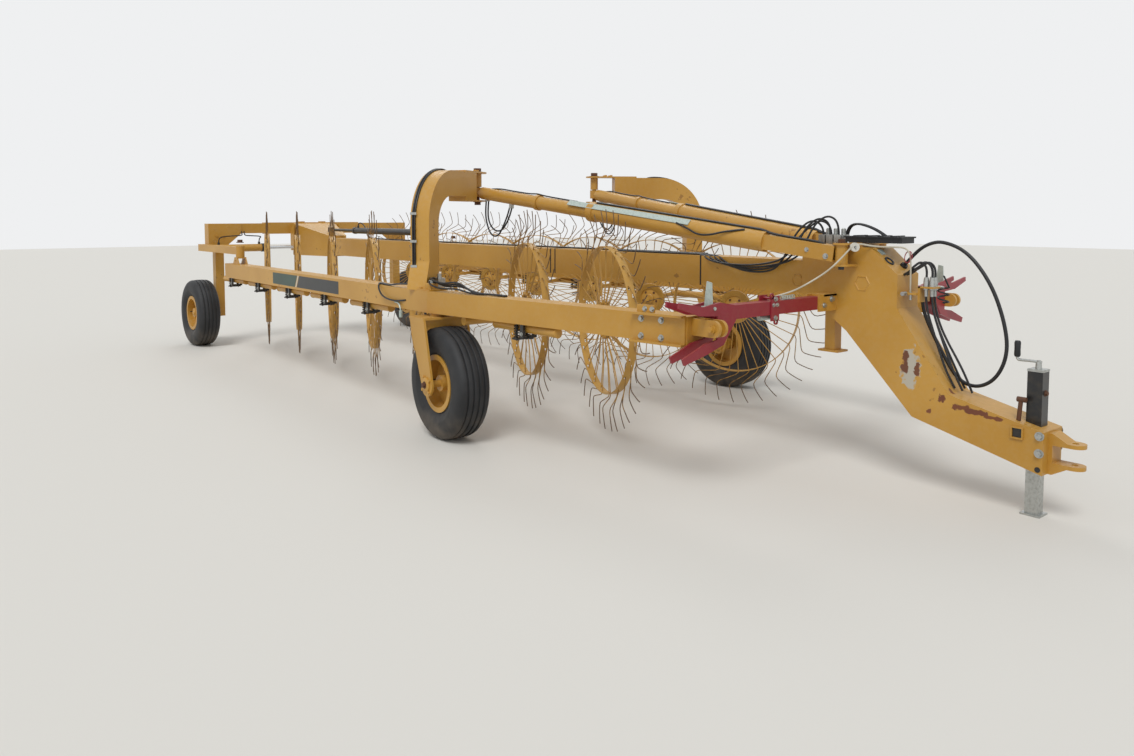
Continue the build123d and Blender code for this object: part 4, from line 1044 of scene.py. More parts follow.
        # A pair's tines cross the rim a quarter of a pitch each side of its bolt
        quarter = columns // self.pairs / 4
        open_cells = set()
        for pair in range(self.pairs):
            middle = pair * columns / self.pairs
            open_cells.add((round(middle - quarter) % columns, 3))
            open_cells.add((round(middle + quarter) % columns, 1))
        faces = []
        for step in range(columns):
            for level in range(rows - 1):
                if (step, level) in open_cells:
                    continue
                faces.append([corner(0, step, level), corner(0, step + 1, level), corner(0, step + 1, level + 1),
                              corner(0, step, level + 1)])
                faces.append([corner(1, step, level), corner(1, step, level + 1), corner(1, step + 1, level + 1),
                              corner(1, step + 1, level)])
                for other, a, b in (
                    ((step, level - 1), (step, level), (step + 1, level)),
                    ((step, level + 1), (step + 1, level + 1), (step, level + 1)),
                    (((step - 1) % columns, level), (step, level + 1), (step, level)),
                    (((step + 1) % columns, level), (step + 1, level), (step + 1, level + 1)),
                ):
                    if other in open_cells or not 0 <= other[1] < rows - 1:
                        faces.append([corner(0, *b), corner(0, *a), corner(1, *a), corner(1, *b)])
        shape.shell(ring, faces)
        shape.lathe(
            [
                (0.0, 0.006), (0.055, 0.006), (0.072, -0.004), (self.plate_radius, -0.004),
                (self.plate_radius, -0.009), (0.070, -0.009), (0.053, 0.001), (0.0, 0.001),
            ],
            40,
        )
        shape.lathe([(0.0, -0.030), (0.042, -0.030), (0.042, 0.026), (0.036, 0.030), (0.0, 0.030)], 32)
        # The ribs press each pair's wire against the plate from the inner face
        for pair in range(2 * self.pairs):
            place = Matrix.Rotation(math.tau * (pair + 0.25) / self.pairs / 2, 4, "Z")
            shape.box((0.038, 0.009, 0.012), place @ Matrix.Translation((0.108, 0.0, 0.000)))
        shape.lathe([(0.084, -0.004), (0.088, 0.006), (0.128, 0.006), (0.131, -0.006), (0.126, -0.006), (0.122, 0.001),
                     (0.092, 0.001), (0.088, -0.006)], 60, ring=True)
        return shape

    def build(self, frame: dict[str, Any]) -> None:
        """Makes one wheel's meshes and puts a copy at each place.

        Args:
            frame: The loaded frame, whose joints say where each wheel turns.
        """
        tree = self.tine_tree()
        tines = grow(tree, self.pair_line(), {"Pairs": self.pairs, "Wire": self.wire, "Finish": self.finishes.tine})
        disc = self.rim_and_hub()
        joints = {row["name"]: row for row in frame["joints"]}
        for side in Side:
            for number in range(1, 8):
                row = joints[f"rake_spin_{number}_right"]
                axle = Vector(row["axis"])
                up = Vector((0.0, 0.0, 1.0))
                turn = Matrix((up, axle.cross(up), axle)).transposed().to_4x4()
                place = Matrix.Translation(row["pos_m"]) @ turn
                if side is Side.LEFT:
                    place = Matrix.Scale(-1.0, 4, (0.0, 1.0, 0.0)) @ place
                body = f"rake_{number}_{side.word}"
                wires = tines.copy()
                wires.transform(place)
                if side is Side.LEFT:
                    wires.flip_normals()
                wires.shade_smooth()
                show(f"tines_{number}_{side.word}", wires, body, self.finishes.tine,
                     (f"rake_wheel_{number}_{side.word}",))
                hub = Shape()
                hub.shell(disc.points, disc.faces, place)
                show(f"rim_and_hub_{number}_{side.word}", hub.mesh("hub"), body, self.finishes.pressed)
                outer = place.to_3x3() @ Vector((0.0, 0.0, -1.0))
                for bolt in range(self.pairs):
                    angle = math.tau * bolt / self.pairs
                    spot = place @ Vector((self.loop_radius * math.cos(angle), self.loop_radius * math.sin(angle), -0.0158))
                    self.fasteners.add(body, "pressed", spot, outer, 0.017)
                for bolt in range(5):
                    angle = math.tau * bolt / 5
                    spot = place @ Vector((0.084 * math.cos(angle), 0.084 * math.sin(angle), -0.009))
                    self.fasteners.add(body, "iron", spot, outer, 0.016)
                self.fasteners.add(body, "pressed", place @ Vector((0.0, 0.0, 0.030)), -outer, 0.036)
                for bolt in range(5):
                    angle = math.tau * (bolt + 0.5) / 5
                    spot = place @ Vector((0.062 * math.cos(angle), 0.062 * math.sin(angle), 0.0035))
                    self.fasteners.add(body, "iron", spot, -outer, 0.013)


@dataclass
class RoadWheels:
    """The four road wheels: ribbed implement tyres, and what is bolted to their rims."""

    finishes: Finishes
    fasteners: Fasteners
    radius: float = 0.390
    half_width: float = 0.125
    groove: float = 0.008
    grooves: tuple[float, ...] = (-0.062, -0.021, 0.021, 0.062)

    def profile(self) -> list[tuple[float, float]]:
        """The tyre's section: radius and place across, from the inner bead round to the outer one."""
        r = self.radius
        w = self.half_width
        line = [(0.1755, -0.0895), (0.205, -0.0895), (0.214, -0.098), (0.236, -0.113), (0.262, -0.1225)]
        line += [(0.268, -0.1245), (0.274, -w), (0.305, -w), (0.330, -0.1235), (0.352, -0.1180), (0.368, -0.1080)]
        line += [(0.379, -0.0950), (0.3850, -0.0800)]
        for middle in self.grooves:
            crown = r - 0.0035 * (abs(middle) / 0.062) ** 2
            line += [
                (crown, middle - 0.0090),
                (crown - 0.0015, middle - 0.0065),
                (crown - self.groove, middle - 0.0045),
                (crown - self.groove, middle + 0.0045),
                (crown - 0.0015, middle + 0.0065),
                (crown, middle + 0.0090),
            ]
        line += [(radius, -place) for radius, place in reversed(line[:13])]
        return line

    def build(self, frame: dict[str, Any]) -> None:
        """Makes the tyres and the bolts.

        Args:
            frame: The loaded frame, whose joints say where each wheel turns.
        """
        joints = {row["name"]: row for row in frame["joints"]}
        for end in ("rear", "front"):
            row = joints[f"{end}_wheel_spin_right"]
            axle = Vector(row["axis"]).normalized()
            if axle.y < 0.0:
                axle.negate()
            place = place_along(row["pos_m"], axle)
            tyre = Shape()
            tyre.lathe(self.profile(), 96, place, ring=True)
            for side in Side:
                own = tyre if side is Side.RIGHT else tyre.mirrored()
                show(f"{end}_ribbed_tyre_{side.word}", own.mesh("tyre"), f"{end}_wheel_{side.word}",
                     self.finishes.tyre, (f"{end}_tyre_{side.word}",))
            cap = Shape()
            cap.lathe([(0.0, -0.088), (0.026, -0.086), (0.033, -0.078), (0.034, -0.074), (0.0, -0.074)], 28, place)
            cap.lathe([(0.058, -0.0122), (0.092, -0.0122), (0.094, -0.018), (0.088, -0.022), (0.060, -0.022)], 40, place,
                      ring=True)
            if end == "rear":
                show_pair(f"{end}_hub_cap", cap, f"{end}_wheel", self.finishes.yellow)
            stem = Shape()
            stem.rod([place @ Vector((0.150, 0.0, -0.030)), place @ Vector((0.150, 0.0, -0.075))], 0.005)
            show_pair(f"{end}_valve_stem", stem, f"{end}_wheel", self.finishes.hose)
            for bolt in range(6):
                angle = math.tau * bolt / 6 + 0.2
                spot = place @ Vector((0.078 * math.cos(angle), 0.078 * math.sin(angle),
                                       -0.022 if end == "rear" else -0.012))
                self.fasteners.pair(f"{end}_wheel", "yellow", spot, -axle, 0.024)


@dataclass
class Casters:
    """What is bolted to the caster forks, and the spindle caps over the arms' kinks."""

    finishes: Finishes
    fasteners: Fasteners

    def build(self) -> None:
        """Makes the pieces."""
        outer = -Frames.caster_axle
        shape = Shape()
        for across in (-0.175, 0.175):
            face = outer * (1.0 if across < 0.0 else -1.0)
            place = place_along(Frames.caster(0.150, across, 0.390), face)
            shape.lathe([(0.0, 0.0), (0.052, 0.0), (0.052, 0.010), (0.046, 0.014), (0.0, 0.014)], 28, place)
            for angle in (0.6, 2.2, 3.8, 5.4):
                spot = Frames.caster(0.150 + 0.062 * math.cos(angle), across, 0.390 + 0.062 * math.sin(angle))
                self.fasteners.pair("caster", "yellow", spot, face, 0.020)
            self.fasteners.pair("caster", "iron", Frames.caster(0.150, across * 1.08, 0.390), face, 0.032)
        for along in (-0.075, 0.075):
            shape.box((0.012, 0.306, 0.060), Matrix.Translation(Frames.caster(along, 0.0, 0.796))
                      @ Matrix.Rotation(math.radians(-4.0), 4, "Z"))
        show_pair("caster_ribs", shape, "caster", self.finishes.yellow)
        cap = Shape()
        cap.prism([(-0.085, -0.070), (0.085, -0.070), (0.085, 0.070), (-0.085, 0.070)], 1.015, 1.025,
                  Matrix.Translation((ahead(5.470), -1.478, 0.0)))
        cap.lathe([(0.0, 1.025), (0.046, 1.025), (0.046, 1.060), (0.040, 1.066), (0.0, 1.066)], 28,
                  Matrix.Translation((ahead(5.470), -1.478, 0.0)))
        show_pair("spindle_cap", cap, "arm", self.finishes.yellow)
        self.fasteners.pair("arm", "zinc", (ahead(5.470), -1.478, 1.066), (0.0, 0.0, 1.0), 0.036)
        for x, y in ((-0.065, -0.050), (0.065, -0.050), (-0.065, 0.050), (0.065, 0.050)):
            self.fasteners.pair("arm", "yellow", (ahead(5.470) + x, -1.478 + y, 1.025), (0.0, 0.0, 1.0), 0.020)
        boot = Shape()
        boot.rod([Frames.rear_arm(5.170, 0.090, 0.850), Frames.rear_arm(5.170, 0.090, 0.800)], 0.014, 12)
        boot.hose([Frames.rear_arm(5.170, 0.090, 0.845), Frames.rear_arm(5.165, 0.094, 0.880),
                   Frames.rear_arm(5.120, 0.084, 0.905), Frames.rear_arm(5.060, 0.082, 0.905)], 0.006)
        show_pair("caster_fitting", boot, "arm", self.finishes.galvanised)


@dataclass
class Arches:
    """The arch heads over the boom pins, with their nuts and spacers, and the hoses that run down the posts."""

    finishes: Finishes
    fasteners: Fasteners
    pin: tuple[float, float] = (ahead(4.810), -0.640)

    def build(self) -> None:
        """Makes the pieces."""
        x, y = self.pin
        spacer = Shape()
        spacer.lathe([(0.0, 1.780), (0.034, 1.780), (0.034, 1.886), (0.0, 1.886)], 28, Matrix.Translation((x, y, 0.0)))
        show_pair("arch_spacer", spacer, "arm", self.finishes.yellow)
        pin = Shape()
        pin.lathe([(0.0, 1.640), (0.018, 1.640), (0.018, 1.915), (0.0, 1.915)], 20, Matrix.Translation((x, y, 0.0)))
        show_pair("arch_pin", pin, "arm", self.finishes.iron)
        self.fasteners.pair("arm", "iron", (x, y, 1.900), (0.0, 0.0, 1.0), 0.056)
        self.fasteners.pair("arm", "iron", (x, y, 1.658), (0.0, 0.0, -1.0), 0.046)
        for along in (0.780, 0.830):
            for side in (-0.045, 0.045):
                self.fasteners.pair("arm", "yellow", Frames.arch(along, 1.900, side), (0.0, 0.0, 1.0), 0.022)
        down = Shape()
        for side, start, end in ((-0.052, 0.400, 1.060), (-0.036, 0.440, 1.120)):
            # The post's outer edge is a quarter circle of this radius about this middle
            bend = [
                Frames.arch(0.325 - 0.412 * math.cos(turn), 1.488 + 0.412 * math.sin(turn), side)
                for turn in (math.radians(a) for a in (80.0, 60.0, 40.0, 20.0, 5.0))
            ]
            down.hose(
                [Frames.arch(start, 1.880, side), Frames.arch(start - 0.020, 1.900, side), *bend,
                 Frames.arch(-0.083, 1.300, side), Frames.arch(-0.083, end, side)],
                0.007,
            )
        show_pair("arch_hoses", down, "arm", self.finishes.hose)
        clips = Shape()
        for height in (1.560, 1.360, 1.180):
            clips.box((0.006, 0.050, 0.018), Matrix.Translation(Frames.arch(-0.088, height, -0.044))
                      @ Matrix.Rotation(math.atan2(Frames.arch_run.y, Frames.arch_run.x), 4, "Z"))
        show_pair("arch_clips", clips, "arm", self.finishes.zinc)


@dataclass
class Booms:
    """What lies along the folding booms: collars, a pale strip that is a painted highlight on the round tube, hoses
    with their end fittings, and the pin heads.
    """

    finishes: Finishes
    fasteners: Fasteners

    def build(self) -> None:
        """Makes the pieces."""
        ring = Shape()
        ring.lathe([(0.050, -0.016), (0.060, -0.016), (0.060, 0.016), (0.050, 0.016)], 32,
                   place_along(Frames.boom(2.500), Frames.boom_run), ring=True)
        show_pair("rod_collar", ring, "boom_inner", self.finishes.yellow)
        gland = Shape()
        gland.lathe([(0.0650, -0.028), (0.0720, -0.028), (0.0720, 0.028), (0.0650, 0.028)], 36,
                    place_along(Frames.boom(1.930), Frames.boom_run), ring=True)
        show_pair("boom_gland", gland, "boom", self.finishes.yellow)
        # The pale galvanised strip along the tube's upper outer flank is a painted highlight: it stands in for the
        # sheen of the round tube
        painted_highlight = Shape()
        painted_highlight.box((1.090, 0.044, 0.005), Frames.boom_matrix(1.600, 0.0448, 0.0501, math.radians(-48.0)))
        show_pair("bright_strip", painted_highlight, "boom", self.finishes.galvanised)
        hoses = Shape()
        for lift, across, end in ((0.0720, -0.012, 1.880), (0.0715, 0.008, 1.900)):
            hoses.hose(
                [Frames.boom(end, lift, across), Frames.boom(1.500, lift, across - 0.004),
                 Frames.boom(1.000, lift, across), Frames.boom(0.600, lift, across), Frames.boom(0.540, lift, across),
                 Frames.boom(0.470, 0.0540, across), Frames.boom(0.300, 0.0530, across),
                 Frames.boom(0.140, 0.0530, across), Frames.boom(0.115, 0.0440, across)],
                0.0065,
            )
        hoses.hose(
            [Frames.boom(1.150, 0.030, 0.062), Frames.boom(1.050, 0.010, 0.074), Frames.boom(0.960, -0.020, 0.090),
             Frames.boom(0.860, -0.010, 0.092), Frames.boom(0.760, 0.030, 0.078), Frames.boom(0.640, 0.058, 0.040)],
            0.0065,
        )
        show_pair("boom_hoses", hoses, "boom", self.finishes.hose)
        rod_hoses = Shape()
        rod_hoses.hose(
            [Frames.boom(3.060, 0.040, 0.010), Frames.boom(2.960, 0.0600, 0.006), Frames.boom(2.800, 0.0565, 0.0),
             Frames.boom(2.600, 0.0565, 0.0), Frames.boom(2.520, 0.0670, 0.0), Frames.boom(2.460, 0.0600, 0.0),
             Frames.boom(2.300, 0.0565, 0.0), Frames.boom(2.100, 0.0565, 0.0)],
            0.0055,
        )
        show_pair("boom_end_hoses", rod_hoses, "boom_inner", self.finishes.hose)
        ports = Shape()
        for along, shift in ((3.085, 0.010), (3.085, -0.016), (2.800, 0.010), (2.800, -0.016)):
            reach = -0.030 if along > 3.0 else -0.052
            ports.rod([Frames.boom(along, reach + 0.012, shift), Frames.boom(along, reach - 0.030, shift)], 0.0105, 6)
        show_pair("hose_ends", ports, "boom_inner", self.finishes.zinc)
        self.fasteners.pair("frame", "iron", (ahead(7.965), -0.205, 1.3866), (0.0, 0.0, 1.0), 0.040)
        self.fasteners.pair("frame", "black", (ahead(7.965), -0.205, 1.2500), (0.0, 0.0, -1.0), 0.034)
        grease = Frames.boom(0.075, -0.020, 0.0465)
        self.fasteners.pair("boom", "zinc", grease, Frames.boom_out, 0.022)
        self.fasteners.pair("boom", "zinc", Frames.boom(0.200, 0.0, 0.0465), Frames.boom_out, 0.018)


@dataclass
class Neck:
    """What sits on the gooseneck: cover, valves and hoses on the crest, hose rack, jack crank and hitch bolts."""

    finishes: Finishes
    fasteners: Fasteners
    flank: float = 0.114

    def build(self) -> None:
        """Makes the pieces."""
        self.crest()
        self.brow()
        self.rack()
        self.tongue()
        self.jack()

    def crest(self) -> None:
        """The valve block with its hoses, the cover's lid and the rope's pulley."""
        block = Shape()
        for x in (7.722, 7.776, 7.830):
            block.box((0.046, 0.100, 0.070), Matrix.Translation((ahead(x), 0.0, 1.395)))
            block.lathe([(0.0, 0.0), (0.014, 0.0), (0.014, 0.034), (0.009, 0.040), (0.0, 0.040)], 16,
                        Matrix.Translation((ahead(x), 0.020, 1.430)))
        block.box((0.180, 0.074, 0.014), Matrix.Translation((ahead(7.776), 0.0, 1.366)))
        show("valve_block", block.mesh("valves"), "frame", self.finishes.zinc)
        hoses = Shape()
        for number, (x, y) in enumerate(((7.722, -0.030), (7.776, -0.034), (7.830, -0.030), (7.750, 0.012))):
            lift = 1.500 + 0.014 * (number % 3)
            end = 7.420 - 0.045 * number
            hoses.hose(
                [(ahead(x), y, 1.425), (ahead(x), y, lift - 0.020), (ahead(x - 0.060), y - 0.030, lift + 0.024),
                 (ahead(x - 0.130), y - 0.060, lift - 0.030), (ahead(x - 0.170), -0.128, 1.380),
                 (ahead(x - 0.215), -0.142 - 0.007 * number, 1.270), (ahead(end), -0.142, 1.186 + 0.012 * number),
                 (ahead(end - 0.240), -0.136, 1.178 + 0.014 * number), (ahead(end - 0.420), -0.122, 1.240),
                 (ahead(end - 0.500), -0.080, 1.279), (ahead(end - 0.700), -0.060 + 0.018 * number, 1.2745)],
                0.0065,
            )
        for y in (0.032, 0.052):
            hoses.hose(
                [(ahead(7.840), y, 1.425), (ahead(7.850), y, 1.474), (ahead(7.900), y, 1.500),
                 (ahead(7.990), y - 0.020, 1.486), (ahead(8.080), y - 0.030, 1.452), (ahead(8.140), y - 0.040, 1.414)],
                0.0065,
            )
        for y, end in ((-0.060, 5.900), (0.040, 2.750), (0.062, 2.750)):
            hoses.hose([(ahead(6.700), y, 1.2745), (ahead(6.300), y, 1.2745), (ahead(end), y, 1.2745)], 0.0065)
        show("crest_hoses", hoses.mesh("hoses"), "frame", self.finishes.hose)
        lid = Shape()
        lid.prism([(-0.186, -0.081), (0.186, -0.081), (0.186, 0.081), (-0.186, 0.081)], 1.4160, 1.4250,
                  Matrix.Translation((ahead(8.0825), 0.0, 0.0)))
        for x in (7.960, 8.040, 8.120, 8.200):
            lid.box((0.012, 0.140, 0.006), Matrix.Translation((ahead(x), 0.0, 1.4275)))
        show("cover_lid", lid.mesh("lid"), "frame", self.finishes.plastic)
        wheel = Shape()
        wheel.lathe([(0.008, -0.008), (0.026, -0.008), (0.019, 0.0), (0.026, 0.008), (0.008, 0.008)], 28,
                    place_along((ahead(8.044), -0.192, 1.364), (0.819, -0.574, 0.0)), ring=True)
        show("rope_pulley", wheel.mesh("pulley"), "frame", self.finishes.nylon)
        hanger = Shape()
        hanger.rod([(ahead(8.030), -0.182, 1.364), (ahead(8.058), -0.202, 1.364)], 0.006)
        hanger.rod([(ahead(8.030), -0.182, 1.364), (ahead(8.012), -0.190, 1.376), (ahead(7.995), -0.190, 1.392)], 0.005)
        show("pulley_hanger", hanger.mesh("hanger"), "frame", self.finishes.zinc)

    def brow(self) -> None:
        """The blank plate, the ringed hole and the red ties on the brow's slope."""
        slope = Vector((0.7498, 0.0, -0.6616))
        out = Vector((0.6616, 0.0, 0.7498))
        top = Vector((ahead(8.100), 0.0, 1.360))

        def spot(along: float, y: float, lift: float) -> Matrix:
            axes = Matrix((slope, Vector((0.0, 1.0, 0.0)), out)).transposed().to_4x4()
            return Matrix.Translation(top + slope * along + out * lift + Vector((0.0, y, 0.0))) @ axes

        blank = Shape().box((0.042, 0.050, 0.002), spot(0.040, -0.050, 0.001))
        show("blank_plate", blank.mesh("blank"), "frame", self.finishes.galvanised)
        ring = Shape()
        ring.lathe([(0.020, 0.0), (0.032, 0.0), (0.030, 0.007), (0.022, 0.007)], 28, spot(0.115, -0.062, 0.0), ring=True)
        ring.lathe([(0.010, 0.0), (0.022, 0.0), (0.020, 0.016), (0.011, 0.016)], 24, spot(0.163, 0.030, 0.0), ring=True)
        show("hole_grommets", ring.mesh("grommets"), "frame", self.finishes.plastic)
        ties = Shape()
        for y, turn in ((-0.058, 0.3), (-0.066, -0.5)):
            loop = []
            for step in range(9):
                angle = math.tau * step / 9
                loop.append((ahead(8.302) + 0.022 * math.cos(angle), y + 0.010 * math.sin(angle + turn),
                             1.312 + 0.034 * math.sin(angle)))
            ties.hose([*loop, loop[0]], 0.0022)
        show("red_ties", ties.mesh("ties"), "frame", self.finishes.red)

    def rack(self) -> None:
        """The coupler rack in front of the brow, and the lines that hang from it to the tongue."""
        rack = Shape()
        rack.box((0.012, 0.110, 0.090), Matrix.Translation((ahead(8.371), -0.005, 1.105)))
        rack.box((0.090, 0.110, 0.010), Matrix.Translation((ahead(8.410), -0.005, 1.145)))
        show("coupler_rack", rack.mesh("rack"), "frame", self.finishes.yellow)
        metal = Shape()
        lines = Shape()
        ends = ((8.405, -0.044, 8.560), (8.437, -0.038, 8.600), (8.437, -0.008, 8.640), (8.405, 0.020, 8.585))
        for number, (x, y, foot) in enumerate(ends):
            metal.lathe([(0.0, -0.055), (0.010, -0.055), (0.010, -0.020), (0.015, -0.018), (0.015, 0.030),
                         (0.012, 0.052), (0.0, 0.052)], 16, Matrix.Translation((ahead(x), y, 1.150)))
            lines.hose(
                [(ahead(x), y, 1.100), (ahead(x + 0.004), y, 1.030), (ahead(x + 0.05), y, 0.900),
                 (ahead(foot - 0.040), y, 0.720), (ahead(foot), y + 0.004, 0.640 - 0.05 * (foot - 8.560)),
                 (ahead(foot + 0.020), y + 0.012, 0.600 - 0.236 * (foot + 0.020 - 8.585))],
                0.0065,
            )
            lines.hose(
                [(ahead(x), y, 1.195), (ahead(x + 0.006), y, 1.250), (ahead(x - 0.030), y - 0.006 * number, 1.292),
                 (ahead(x - 0.070), y - 0.010, 1.262), (ahead(8.300), y, 1.225), (ahead(8.262), y, 1.205)],
                0.0065,
            )
        for x, y in ((8.455, 0.050), (8.475, 0.020)):
            coil = []
            for step in range(22):
                angle = math.tau * step / 9
                coil.append((ahead(x) + 0.030 * math.cos(angle), y + 0.030 * math.sin(angle), 1.150 - 0.0045 * step))
            lines.hose([(ahead(x), y, 1.210), *coil], 0.0035)
            metal.rod([(ahead(x), y, 1.146), (ahead(x - 0.030), y, 1.146)], 0.006)
        show("rack_couplers", metal.mesh("couplers"), "frame", self.finishes.zinc)
        show("rack_lines", lines.mesh("lines"), "frame", self.finishes.hose)
        clamp = Shape()
        clamp.rod([(ahead(8.300), -0.076, 1.1060), (ahead(8.300), -0.112, 1.1060)], 0.012, 12)
        clamp.rod([(ahead(8.322), -0.060, 1.1160), (ahead(8.322), -0.060, 1.0700)], 0.008, 10)
        show("shelf_pins", clamp.mesh("pins"), "frame", self.finishes.zinc)

    def tongue(self) -> None:
        """Plug welds on the flanks, the square socket, the hitch bolts and a rusty pin."""
        welds = Shape()
        for side in Side:
            y = side.value * self.flank
            for x, z, radius in ((8.048, 1.150, 0.041), (7.588, 1.142, 0.034)):
                face = y if x > 7.630 else side.value * 0.1015
                welds.lathe([(radius, -0.001), (radius + 0.005, 0.0045), (radius + 0.012, -0.001)], 6,
                            place_along((ahead(x), face, z), (0.0, side.value, 0.0)), ring=True)
        show("plug_welds", welds.mesh("welds"), "frame", self.finishes.yellow)
        socket = Shape()
        # Black sheets in the socket's opening and over the lower hole are painted shade: they stand in for the dark
        # inside of these holes
        painted_hole_shade = Shape()
        for side in Side:
            face = place_along((ahead(8.954), side.value * self.flank, 0.4385), (0.0, side.value, 0.0))
            outer, inner = 0.031, 0.024
            corners = [(1, 1), (-1, 1), (-1, -1), (1, -1)]
            points = [(a * r, b * r, h) for r, h in ((outer, 0.0), (outer, 0.010), (inner, 0.010), (inner, 0.0))
                      for a, b in corners]
            faces = [(4 * k + i, 4 * k + (i + 1) % 4, 4 * ((k + 1) % 4) + (i + 1) % 4, 4 * ((k + 1) % 4) + i)
                     for k in range(4) for i in range(4)]
            socket.shell(points, faces, face)
            painted_hole_shade.box((0.046, 0.046, 0.002), face @ Matrix.Translation((0.0, 0.0, 0.001)))
            painted_hole_shade.lathe([(0.0, 0.0), (0.014, 0.0), (0.014, 0.002), (0.0, 0.002)], 24,
                       place_along((ahead(9.058), side.value * self.flank, 0.2680), (0.0, side.value, 0.0)))
        show("tongue_socket", socket.mesh("socket"), "frame", self.finishes.yellow)
        show("tongue_holes", painted_hole_shade.mesh("holes"), "frame", self.finishes.black)
        for z in (0.4396, 0.3518):
            self.fasteners.pair("frame", "zinc", (ahead(9.062), -self.flank, z), (0.0, -1.0, 0.0), 0.030)
        pin = Shape()
        pin.rod([(ahead(8.935), -0.070, 0.440), (ahead(8.948), -0.070, 0.600)], 0.011, 12)
        pin.rod([(ahead(8.930), -0.070, 0.604), (ahead(8.975), -0.070, 0.604)], 0.014, 12)
        show("rusty_pin", pin.mesh("pin"), "frame", self.finishes.iron)
        straps = Shape()
        for distance in (5.100, 5.160, 3.300, 6.780):
            half, low, high = 0.1030, 1.0635, 1.2695
            ring = [(-half, low), (half, low), (half, high), (-half, high)]
            inner = [(-half + 0.003, low + 0.003), (half - 0.003, low + 0.003), (half - 0.003, high - 0.003),
                     (-half + 0.003, high - 0.003)]
            points = []
            for x in (-0.006, 0.006):
                points.extend((ahead(distance) + x, y, z) for y, z in ring)
                points.extend((ahead(distance) + x, y, z) for y, z in inner)
            faces = []
            for i in range(4):
                j = (i + 1) % 4
                faces += [(i, j, 4 + j, 4 + i), (8 + i, 12 + i, 12 + j, 8 + j), (i, 8 + i, 8 + j, j),
                          (4 + i, 4 + j, 12 + j, 12 + i)]
            straps.shell(points, faces)
        show("beam_straps", straps.mesh("straps"), "frame", self.finishes.plastic)

    def jack(self) -> None:
        """The jack's crank with its black grip."""
        x = 9.000
        crank = Shape()
        crank.box((0.080, 0.080, 0.012), Matrix.Translation((ahead(x), 0.0, 0.756)))
        crank.lathe([(0.0, 0.0), (0.016, 0.0), (0.014, 0.030), (0.009, 0.034), (0.009, 0.044), (0.0, 0.044)], 20,
                    Matrix.Translation((ahead(x), 0.0, 0.762)))
        crank.hose([(ahead(x + 0.014), 0.0, 0.797), (ahead(x - 0.030), 0.0, 0.799), (ahead(x - 0.080), 0.0, 0.797),
                    (ahead(x - 0.108), 0.0, 0.796), (ahead(x - 0.108), 0.0, 0.830), (ahead(x - 0.108), 0.0, 0.885)], 0.0075)
        crank_piece = show("jack_crank_bar", crank.mesh("crank"), "frame", self.finishes.zinc, ("jack_crank",))
        crank_piece.data.shade_smooth()
        grip = Shape()
        grip.lathe([(0.0, 0.812), (0.012, 0.812), (0.016, 0.820), (0.0150, 0.850), (0.016, 0.886), (0.012, 0.896),
                    (0.0, 0.897)], 24, Matrix.Translation((ahead(x - 0.108), 0.0, 0.0)))
        show("jack_crank_grip", grip.mesh("grip"), "frame", self.finishes.plastic)
        self.fasteners.add("frame", "iron", (ahead(9.038), 0.0, 0.640), (1.0, 0.0, 0.0), 0.022)


@dataclass
class Latches:
    """What is bolted to the red latch bars, and the latch levers between their hook plates."""

    finishes: Finishes
    fasteners: Fasteners
    bar_x: float = ahead(7.830)
    bar_z: float = 1.030

    def build(self) -> None:
        """Makes the pieces."""
        x, z = self.bar_x, self.bar_z
        clamp = Shape()
        for side in (-1.0, 1.0):
            clamp.box((0.008, 0.070, 0.140), Matrix.Translation((x + side * 0.0415, -0.700, z - 0.002)))
        for height in (0.052, -0.055):
            clamp.rod([(x - 0.050, -0.700, z + height), (x + 0.050, -0.700, z + height)], 0.007)
        for height, y in ((0.068, -0.730), (-0.078, -0.690)):
            place = place_along((x + 0.0415, y, z + height), (1.0, 0.0, 0.0))
            clamp.lathe([(0.009, -0.004), (0.017, -0.004), (0.017, 0.004), (0.009, 0.004)], 20, place, ring=True)
        show_pair("bar_clamp", clamp, "frame", self.finishes.red)
        for height in (0.052, -0.055):
            self.fasteners.pair("frame", "zinc", (x + 0.0455, -0.700, z + height), (1.0, 0.0, 0.0), 0.019)
        for y in (-0.716, -0.684):
            self.fasteners.pair("frame", "zinc", (x + 0.0455, y, z + 0.018), (1.0, 0.0, 0.0), 0.015)
        spring = Shape()
        turns = []
        for step in range(64):
            angle = math.tau * step / 8
            turns.append((x + 0.020 + 0.012 * math.cos(angle), -0.620 + 0.0020 * step, z + 0.0515 + 0.012 * math.sin(angle)))
        spring.rod(turns, 0.0022, 6)
        damper = [(x, -0.640, z - 0.055), (x, -0.790, z - 0.055)]
        spring.rod(damper, 0.014, 14)
        show_pair("bar_spring", spring, "frame", self.finishes.galvanised)
        root = Shape()
        for side in (-1.0, 1.0):
            root.box((0.012, 0.176, 0.100), Matrix.Translation((x + side * 0.0435, -0.202, z)))
        root.box((0.099, 0.130, 0.012), Matrix.Translation((x, -0.179, z + 0.0435)))
        show_pair("bar_socket", root, "frame", self.finishes.yellow)
        self.fasteners.pair("frame", "zinc", (x + 0.0495, -0.166, z + 0.020), (1.0, 0.0, 0.0), 0.026)
        self.fasteners.pair("frame", "zinc", (x + 0.0495, -0.240, z - 0.014), (1.0, 0.0, 0.0), 0.022)
        lever = Shape()
        lever.prism([(-0.032, 0.0), (0.034, 0.0), (0.026, 0.090), (0.022, 0.165), (-0.012, 0.172), (-0.022, 0.100)], -0.012, -0.006,
                    Matrix.Translation((x, -1.217, 1.030)) @ Matrix.Rotation(math.pi / 2, 4, "X"))
        lever.rod([(x - 0.056, -1.217, 1.062), (x + 0.056, -1.217, 1.062)], 0.009, 12)
        show_pair("latch_lever", lever, "frame", self.finishes.galvanised)


